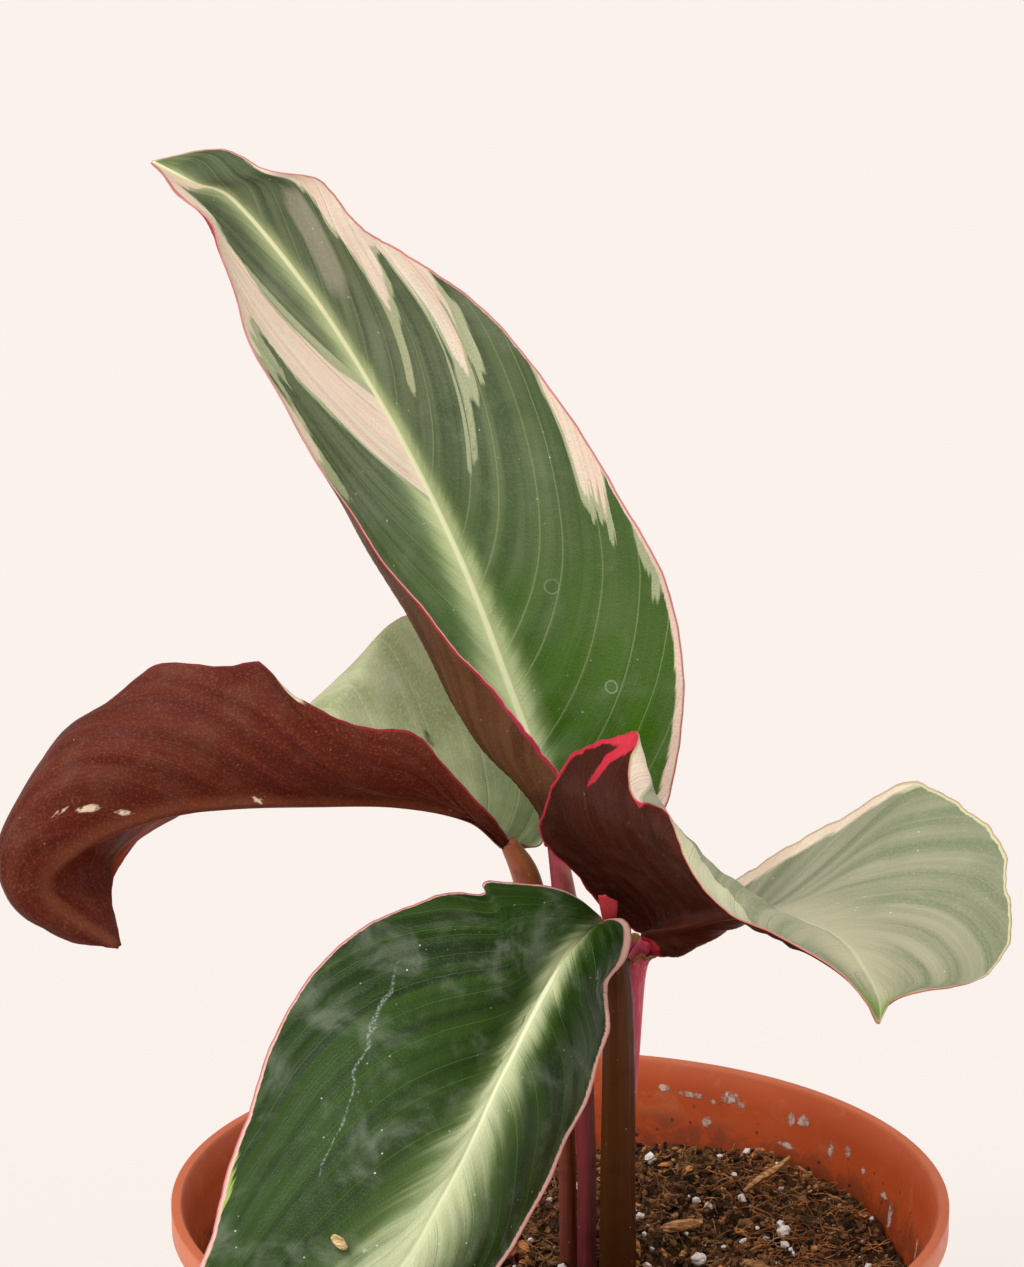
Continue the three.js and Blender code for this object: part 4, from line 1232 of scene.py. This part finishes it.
def make_shoot():
    """The tip of the next leaf: a thin sheet rolled up round itself, open at its top."""
    bm = bmesh.new()
    bmesh.ops.create_grid(bm, x_segments=64, y_segments=24, size=1)
    bm.verts.layers.float_vector.new("sheath")
    corners = np.array([vert.co.xy for vert in bm.verts])
    rolled, up = (corners[:, 0] + 1) / 2, (corners[:, 1] + 1) / 2
    angle = math.radians(SHOOT_START) + rolled * math.radians(SHOOT_ROLL)
    radius = (0.55 + 0.75 * rolled) * (0.75 + 0.5 * up - 0.15 * up**4)
    height = SHOOT_HEIGHT * up * (1 - 0.28 * np.sin(angle * 0.5 + 1.2) ** 2)
    foot, head = np.array(SHOOT_FOOT), np.array(SHOOT_HEAD)
    centre = foot + (head - foot) * up[:, None]
    ring = np.stack([1.15 * np.cos(angle) * radius, 0.8 * np.sin(angle) * radius, height], 1)
    place_verts(bm.verts, centre + ring)
    mark_sheath(bm, 0.5 * up, rolled)
    thickened(bm, SHOOT_THICKNESS)
    skin = sheath_skin("rolled_crimson_leaf_tip", "#cc3a44", "#dc5c64", "#9c262c")
    belongs(make_object("young_shoot_tip", bm, [skin]), "sheath_crimson", "young_shoot")


for stalk_name in STALKS:
    make_stalk(stalk_name)
make_sheath()
make_shoot()

# ---- pot --------------------------------------------------------------------------


def lime_crust(tree, place):
    """Mask of the dried lime marks: flaky, and thickest in the middle of each."""
    crust = None
    for degrees, level, wide, tall in LIME_MARKS:
        angle = math.radians(degrees)
        radius = POT_WALL_RADIUS - (POT_WALL_TOP - min(level, POT_WALL_TOP)) * POT_WALL_SLOPE
        spot = (radius * math.cos(angle) * MM, radius * math.sin(angle) * MM, level * MM)
        away = add(tree, "VectorMath", [place, spot], **MINUS)
        scale = (1 / (wide * MM), 1 / (wide * MM), 1 / (tall * MM))
        away = add(tree, "VectorMath", [away, scale], **TIMES)
        away = add(tree, "VectorMath", [away], 1, operation="LENGTH")
        mark = add(tree, "MapRange", [away, 2.6, 0.4], **SMOOTH)
        crust = mark if crust is None else add(tree, "Math", [crust, mark], operation="MAXIMUM")
    flaky = {"Vector": place, "Scale": 1 / (1.1 * MM), "Detail": 6.0, "Roughness": 0.75}
    crust = add(tree, "Math", [crust, add(tree, "TexNoise", flaky)], **TIMES)
    return add(tree, "MapRange", [crust, 0.36, 0.52, 0, 0.75], **SMOOTH)


def pot_plastic():
    """Injection-moulded polypropylene, terracotta-coloured: a soft sheen with faint
    flow marks, crusts of dried lime and splashes of mix inside, a scuffed paler lip, and
    painted window light that makes the outside paler than the inside."""
    name = "moulded_terracotta_polypropylene"
    material, tree, shader = surface_of(name, ior=1.49, specular_ior_level=0.35)
    place = add(tree, "TexCoord", out=3)
    height = add(tree, "SeparateXYZ", [place]).node.outputs[2]
    cloud = add(tree, "TexNoise", {"Vector": place, "Scale": 1 / (14 * MM), "Detail": 4.0})
    smears = {"Vector": place, "Scale": 1 / (5 * MM), "Detail": 6.0, "Roughness": 0.7, "Distortion": 0.6}
    smear = add(tree, "TexNoise", smears)
    grain = add(tree, "TexNoise", {"Vector": place, "Scale": 1 / (0.45 * MM), "Detail": 3.0})
    speck = add(tree, "TexVoronoi", {"Vector": place, "Scale": 1 / (2.6 * MM)})
    crust = lime_crust(tree, place)
    film = add(tree, "MapRange", [smear, 0.52, 0.74, 0, 0.34], **SMOOTH)
    lip = add(tree, "MapRange", [height, 94.2 * MM, 94.9 * MM, 0, 0.8], **SMOOTH)
    # How far a face looks away from the pot's axis tells the outside from the inside.
    outwards = add(tree, "VectorMath", [place, (1, 1, 0)], **TIMES)
    normal = add(tree, "TexCoord", out=1)
    facing = add(tree, "VectorMath", [normal, outwards], 1, operation="DOT_PRODUCT")
    inside = add(tree, "MapRange", [facing, -5 * MM, -30 * MM])
    # painted light: the outside of the wall is made paler, where the window light falls on it
    dusty = add(tree, "MapRange", [facing, 5 * MM, 30 * MM, 0, 0.36])
    dirty = add(tree, "MapRange", [height, 93 * MM, 82 * MM], **SMOOTH)
    dirty = add(tree, "Math", [dirty, inside], **TIMES)
    splash = add(tree, "MapRange", [speck, 0.16, 0.1], **SMOOTH)
    splash = add(tree, "Math", [splash, dirty], **TIMES)
    tide = add(tree, "Math", [dirty, smear], **TIMES)
    tide = add(tree, "MapRange", [tide, 0.30, 0.56, 0, 0.62], **SMOOTH)
    colour = paint(tree, srgb("#b24519"), [
        (cloud, "#c45623"),
        (dusty, "#dd9171"),
        (film, "#c8805c"),
        (tide, "#5e2a16"),
        (splash, "#3a1d10"),
        (lip, "#bb5c2f"),
        (crust, "#dccabc"),
    ])
    roughness = add(tree, "MapRange", [smear, 0.3, 0.7, 0.36, 0.6])
    relief = add(tree, "Math", [crust, 6.0, grain], **TIMES_PLUS)
    finish_surface(tree, shader, colour, roughness, relief, 0.03)
    return material


def drill_drain_holes(pot):
    """Cuts the holes that let water out through the raised ring of the pot's floor."""
    drill = bmesh.new()
    for k in range(DRAIN_HOLES):
        angle = FULL_TURN * k / DRAIN_HOLES
        x, y = DRAIN_RING_RADIUS * math.cos(angle), DRAIN_RING_RADIUS * math.sin(angle)
        bmesh.ops.create_cone(
            drill, cap_ends=True, segments=32, radius1=DRAIN_HOLE_RADIUS,
            radius2=DRAIN_HOLE_RADIUS, depth=DRAIN_DRILL, matrix=Matrix.Translation((x, y, DRAIN_LEVEL)),
        )
    cutter = make_object("drain_hole_cutter", drill, [])
    holes = pot.modifiers.new("drain_holes", "BOOLEAN")
    holes.object = cutter
    holes.operation = "DIFFERENCE"
    evaluated = pot.evaluated_get(bpy.context.evaluated_depsgraph_get())
    drilled = bpy.data.meshes.new_from_object(evaluated)
    pot.modifiers.clear()
    pot.data = drilled
    bpy.data.objects.remove(cutter)


def make_pot():
    """The thin shell of the nursery pot, with the soft edges that a mould leaves."""
    bm = turned(POT_OUTLINE, POT_STEPS)
    bmesh.ops.recalc_face_normals(bm, faces=bm.faces)
    pot = make_object("pot_shell", bm, [pot_plastic()])
    drill_drain_holes(pot)
    rounding = pot.modifiers.new("moulded_edges", "BEVEL")
    rounding.width = POT_ROUNDING * MM
    rounding.segments = 3
    rounding.limit_method = "ANGLE"
    rounding.angle_limit = math.radians(35)
    belongs(pot, "pot_plastic", "pot")


make_pot()

# ---- potting mix ------------------------------------------------------------------

rng = random.Random(7)


def mix_height(x, y):
    """The mix is nearly level beside the stalks. It is heaped behind them to the right,
    where it also climbs the wall."""
    lean = (HEAP_DIRECTION[0] * x + HEAP_DIRECTION[1] * y) / MIX_RADIUS
    ripple = 0.5 * math.sin(0.21 * x + 1.3) * math.cos(0.17 * y)
    radius, angle = math.hypot(x, y), math.degrees(math.atan2(y, x))
    out = min(1, max(0, (radius - HEAP_FADE) / (MIX_RADIUS - HEAP_FADE)))
    out = out * out * (3 - 2 * out)
    climb = CLIMB_HEIGHT * math.exp(-(((angle - CLIMB_ANGLE) / CLIMB_SPREAD) ** 2))
    settled = MIX_LEVEL + WALL_SETTLING
    heaped = MIX_LEVEL + HEAP_HEIGHT * max(0, lean) ** 2
    return heaped * (1 - out) + (settled + climb) * out + ripple


def clods(x, y, octaves):
    """How far lumps rise from the bed or sink below it, within about half of their height."""
    return noise.fractal(Vector((x, y, 0)) * CLOD_PITCH, 0.6, 2.2, octaves)


def crumbly(name, dark, light, mid=0.5):
    """Damp peat and coir: fully matt, near black in the gaps, brown on dry crumbs."""
    material, tree, shader = surface_of(name, specular_ior_level=0.2)
    place = add(tree, "TexCoord", out=3)
    patches = {"Vector": place, "Scale": 1 / (3.5 * MM), "Detail": 6.0, "Roughness": 0.75}
    patch = add(tree, "TexNoise", patches)
    grit = add(tree, "TexNoise", {"Vector": place, "Scale": 1 / (0.5 * MM), "Detail": 4.0})
    moss = add(tree, "TexNoise", {"Vector": place, "Scale": 1 / (11 * MM), "Detail": 3.0})
    tone = add(tree, "MapRange", [patch, mid - 0.12, mid + 0.12], **SMOOTH)
    fleck = add(tree, "MapRange", [grit, 0.55, 0.7, 0, 0.5])
    mossy = add(tree, "MapRange", [moss, 0.55, 0.68, 0, 0.2], **SMOOTH)
    colour = paint(tree, srgb(dark), [(tone, light), (mossy, "#3e421c"), (fleck, light)])
    rough = add(tree, "MapRange", [grit, 0, 1, 0.8, 0.98])
    finish_surface(tree, shader, colour, rough, grit, 0.5)
    return material


def make_mix():
    """The filling: a plain cone below, and a lumpy top that the crumbs lie on."""
    outline = [(0.0, 4.3), (40.9, 4.3), (52.0, 72.3), (54.3, 74), (MIX_RADIUS - 0.3, MIX_LEVEL - 2)]
    for k in range(MIX_RINGS + 1):
        outline.append((MIX_RADIUS * (1 - k / MIX_RINGS) ** 0.9, MIX_LEVEL))
    bm = turned(outline, MIX_STEPS)
    for vert in bm.verts:
        if vert.co.z > MIX_LEVEL - 1:
            x, y = vert.co.x, vert.co.y
            vert.co.z = mix_height(x, y) - BED_DROP + CLOD_HEIGHT * clods(x, y, 6)
    bmesh.ops.recalc_face_normals(bm, faces=bm.faces)
    skin = crumbly("damp_peat_and_coir", "#0e0804", "#603e22")
    belongs(make_object("potting_mix_bed", bm, [skin]), "potting_mix", "potting_mix")


def add_grain(bm, at, half, turn, rough=0.25, detail=1):
    """One lump: a ball stretched, turned and knocked out of round."""
    lump = bmesh.ops.create_icosphere(bm, subdivisions=detail, radius=1)["verts"]
    rotation = turn.to_matrix()
    for vert in lump:
        knocked = vert.co * (1 + rng.uniform(-rough, rough))
        stretched = Vector((knocked.x * half[0], knocked.y * half[1], knocked.z * half[2]))
        vert.co = rotation @ stretched + Vector(at)


def on_the_mix(margin):
    """A random place on the mix, at least the margin from the pot's wall."""
    radius = (MIX_RADIUS - margin) * math.sqrt(rng.random())
    angle = rng.uniform(0, FULL_TURN)
    x, y = radius * math.cos(angle), radius * math.sin(angle)
    return x, y, mix_height(x, y)


def strew(name, material, slot, count, add_one):
    """Adds many small things to one piece, in batches so that each stays quick."""
    whole = bmesh.new()
    for first in range(0, count, BATCH):
        batch = bmesh.new()
        for _ in range(min(BATCH, count - first)):
            add_one(batch)
        stage = bpy.data.meshes.new("batch")
        batch.to_mesh(stage)
        batch.free()
        whole.from_mesh(stage)
        bpy.data.meshes.remove(stage)
    bmesh.ops.recalc_face_normals(whole, faces=whole.faces)
    belongs(make_object(name, whole, [material], smooth=False), slot)


def strew_grains(name, material, slot, count, sizes, shape, lift, rough):
    """Grains of a range of half lengths; shape gives their width and height ranges."""

    def add_one(bm):
        size = rng.uniform(*sizes) * rng.uniform(0.55, 1)
        x, y, z = on_the_mix(size + 0.4)
        z += CRUMB_SWING * clods(x, y, 3)
        half = (size, size * rng.uniform(*shape[0]), size * rng.uniform(*shape[1]))
        turn = Euler((rng.uniform(*ANY_TILT), rng.uniform(*ANY_TILT), rng.uniform(*ANY_WAY)))
        add_grain(bm, (x, y, z - GRAIN_SINK + half[2] * lift), half, turn, rough)

    strew(name, material, slot, count, add_one)


def add_fibre(bm, at=None):
    """One coir or root fibre, lying bent on the mix."""
    x, y, z = at or on_the_mix(FIBRE_MARGIN)
    angle, length = rng.uniform(*ANY_WAY), rng.uniform(*FIBRE_LENGTHS)
    points = []
    for _ in range(4):
        points.append((x, y, z + rng.uniform(*FIBRE_LIFTS)))
        angle += rng.uniform(*ANY_TILT)
        x, y = x + math.cos(angle) * length / 3, y + math.sin(angle) * length / 3
        inward = min(1, (MIX_RADIUS - 0.6) / max(math.hypot(x, y), 1))
        x, y = x * inward, y * inward
        z = mix_height(x, y)
    thick = rng.uniform(*FIBRE_RADII)
    add_rod(bm, points, (thick, thick, 0.6 * thick), sides=3, steps=5)


def add_slope_fibre(bm):
    """A fibre where the mix climbs the wall, which is where it dries first."""
    radius, angle = rng.uniform(*SLOPE_RADII), math.radians(rng.uniform(*SLOPE_ANGLES))
    x, y = radius * math.cos(angle), radius * math.sin(angle)
    add_fibre(bm, (x, y, mix_height(x, y)))


def perlite_skin():
    """Puffed volcanic glass: chalk white, pitted and matt, dusted with peat."""
    material, tree, shader = surface_of("puffed_perlite", specular_ior_level=0.3)
    place = add(tree, "TexCoord", out=3)
    pit = add(tree, "TexNoise", {"Vector": place, "Scale": 1 / (0.5 * MM), "Detail": 3.0})
    dust = add(tree, "TexNoise", {"Vector": place, "Scale": 1 / (1.6 * MM), "Detail": 3.0})
    dusty = add(tree, "MapRange", [dust, 0.5, 0.7, 0, 0.6], **SMOOTH)
    colour = paint(tree, srgb("#d6cec4"), [(pit, "#f6f2ec"), (dusty, "#9a8470")])
    rough = add(tree, "MapRange", [pit, 0, 1, 0.8, 0.95])
    finish_surface(tree, shader, colour, rough, pit, 0.25)
    return material


def wood_chip_skin(name, light, dark):
    """Shredded bark and wood: matt, with fibres along the chip."""
    material, tree, shader = surface_of(name, specular_ior_level=0.3)
    place = add(tree, "TexCoord", out=3)
    stretched = add(tree, "VectorMath", [place, (0.35, 1, 1)], **TIMES)
    fibre = add(tree, "TexNoise", {"Vector": stretched, "Scale": 1 / (0.5 * MM), "Detail": 4.0})
    tone = add(tree, "MapRange", [fibre, 0.4, 0.65], **SMOOTH)
    rough = add(tree, "MapRange", [fibre, 0, 1, 0.7, 0.9])
    finish_surface(tree, shader, paint(tree, srgb(dark), [(tone, light)]), rough, fibre, 0.3)
    return material


def make_grain(name, at, half, turn, material, slot, rough):
    """A loose grain that the CAD part has too."""
    bm = bmesh.new()
    add_grain(bm, at, half, Euler(turn), rough, detail=3)
    every_way = {"use_axis_x": True, "use_axis_y": True, "use_axis_z": True}
    bmesh.ops.smooth_vert(bm, verts=bm.verts, factor=0.5, **every_way)
    bmesh.ops.recalc_face_normals(bm, faces=bm.faces)
    belongs(make_object(name + "_grain", bm, [material], smooth=False), slot, name)


def make_splinter(material):
    """A long split of pine that leans on the mix below the right of the wall."""
    bm = bmesh.new()
    add_rod(bm, SPLINTER_LINE, SPLINTER_RADII, sides=7, steps=16, ridges=0.25)
    bmesh.ops.recalc_face_normals(bm, faces=bm.faces)
    belongs(make_object("leaning_pine_splinter", bm, [material]), "bark_chip")


def lying(at, half):
    """The middle of a grain that lies on the mix."""
    return (*at, mix_height(*at) + half[2] + GRAIN_RISE)


# The same random numbers are drawn in this order, so the order of these calls stays.
make_mix()
peat = crumbly("dark_peat_crumb", "#1a0f07", "#8a5c38")
coir = crumbly("brown_coir_crumb", "#64401f", "#c2925c")
fibre_skin = crumbly("dry_coir_fibre", "#6b4526", "#b58756", 0.55)
BED = "potting_mix"
strew_grains("peat_clods", peat, BED, 160, (1.0, 2.2), ((0.6, 0.95), (0.5, 0.9)), 0.3, 0.34)
strew_grains("peat_crumbs_dark", peat, BED, 5200, (0.25, 1.0), ((0.45, 0.95), (0.4, 0.9)), 1.2, 0.36)
strew_grains("peat_crumbs_brown", coir, BED, 2600, (0.15, 0.7), ((0.3, 0.9), (0.3, 0.8)), 2.0, 0.36)
strew("coir_fibres", fibre_skin, BED, 900, add_fibre)

chip_skins = {
    "bark_chip_back": wood_chip_skin("split_pine_chip", "#d0a066", "#8a5a2e"),
    "bark_chip_side": wood_chip_skin("tan_bark_chip", "#b98550", "#6b4222"),
    "bark_chip_near": wood_chip_skin("brown_bark_chip", "#9a693c", "#50301a"),
    "bark_chip_left": wood_chip_skin("red_bark_chip", "#bb6a48", "#7a3c26"),
}
for name, (at, half, turn) in CHIPS.items():
    make_grain(name, lying(at, half), half, (0, 0, turn), chip_skins[name], "bark_chip", 0.22)
perlite = perlite_skin()
for name, (at, half, turn) in PERLITE.items():
    make_grain(name, lying(at, half), half, (0, 0, turn), perlite, "perlite", 0.22)
straw = wood_chip_skin("pale_straw_chip", "#dfc896", "#a98a58")
make_grain("bark_chip_on_leaf", *LEAF_CHIP, straw, "bark_chip", 0.2)
strew_grains("perlite_crumbs", perlite, "perlite", 280, (0.2, 1.2), ((0.6, 1), (0.5, 0.95)), 1.5, 0.3)
make_splinter(chip_skins["bark_chip_back"])
shredded = wood_chip_skin("shredded_bark", "#d08a4c", "#6b4220")
strew_grains("bark_crumbs", shredded, "bark_chip", 220, (0.7, 2.4), ((0.25, 0.5), (0.2, 0.4)), 2.0, 0.3)
dried = crumbly("sun_dried_coir_fibre", "#6a3a1e", "#b87444")
strew("dry_slope_fibres", dried, BED, 230, add_slope_fibre)
dry_coir = crumbly("dry_coir_crumb", "#7a4a28", "#c88a56")
strew_grains("dry_coir_crumbs", dry_coir, BED, 500, (0.2, 0.8), ((0.2, 0.6), (0.2, 0.5)), 2.4, 0.36)

# ---- studio -----------------------------------------------------------------------

CAMERA_PLACE = (-7.4, -509, 310)
CAMERA_DIP = 13.93  # degrees below level
CAMERA_LENS = 100  # on a 36 mm wide sensor
FLOOR_HALF = 9000
LIGHTS = (  # name, where it stands from the plant, its width in degrees, strength
    ("window", (-0.6, -0.5, 1.0), 45, 2.7),
    ("reflector", (0.8, -0.5, 0.5), 80, 0.55),
)


def make_floor():
    """A plain pale floor, which isn't part of the plant."""
    bm = bmesh.new()
    bmesh.ops.create_grid(bm, x_segments=1, y_segments=1, size=FLOOR_HALF)
    finish = {"base_color": srgb("#d2ccc8"), "roughness": 0.95, "specular_ior_level": 0.0}
    make_object("floor", bm, [surface_of("pale_floor", **finish)[0]])


def make_studio():
    """A pale room: an even sky, a broad window light from the left and a weak reflector."""
    scene = bpy.context.scene
    world = bpy.data.worlds.new("studio")
    world.use_nodes = True
    sky = world.node_tree.nodes["Background"]
    sky.inputs["Color"].default_value = srgb("#fcf9f6")
    sky.inputs["Strength"].default_value = 0.75
    scene.world = world
    for name, direction, angle, power in LIGHTS:
        data = bpy.data.lights.new(name, "SUN")
        data.angle = math.radians(angle)
        data.energy = power
        light = bpy.data.objects.new(name, data)
        light.rotation_euler = Vector(direction).to_track_quat("Z", "Y").to_euler()
        scene.collection.objects.link(light)
    camera_data = bpy.data.cameras.new("camera")
    camera_data.lens = CAMERA_LENS
    camera_data.sensor_width = 36
    camera = bpy.data.objects.new("camera", camera_data)
    camera.location = Vector(CAMERA_PLACE) * MM
    camera.rotation_euler = (math.radians(90 - CAMERA_DIP), 0, 0)
    scene.collection.objects.link(camera)
    scene.camera = camera
    scene.view_settings.view_transform = "Standard"


make_floor()
make_studio()
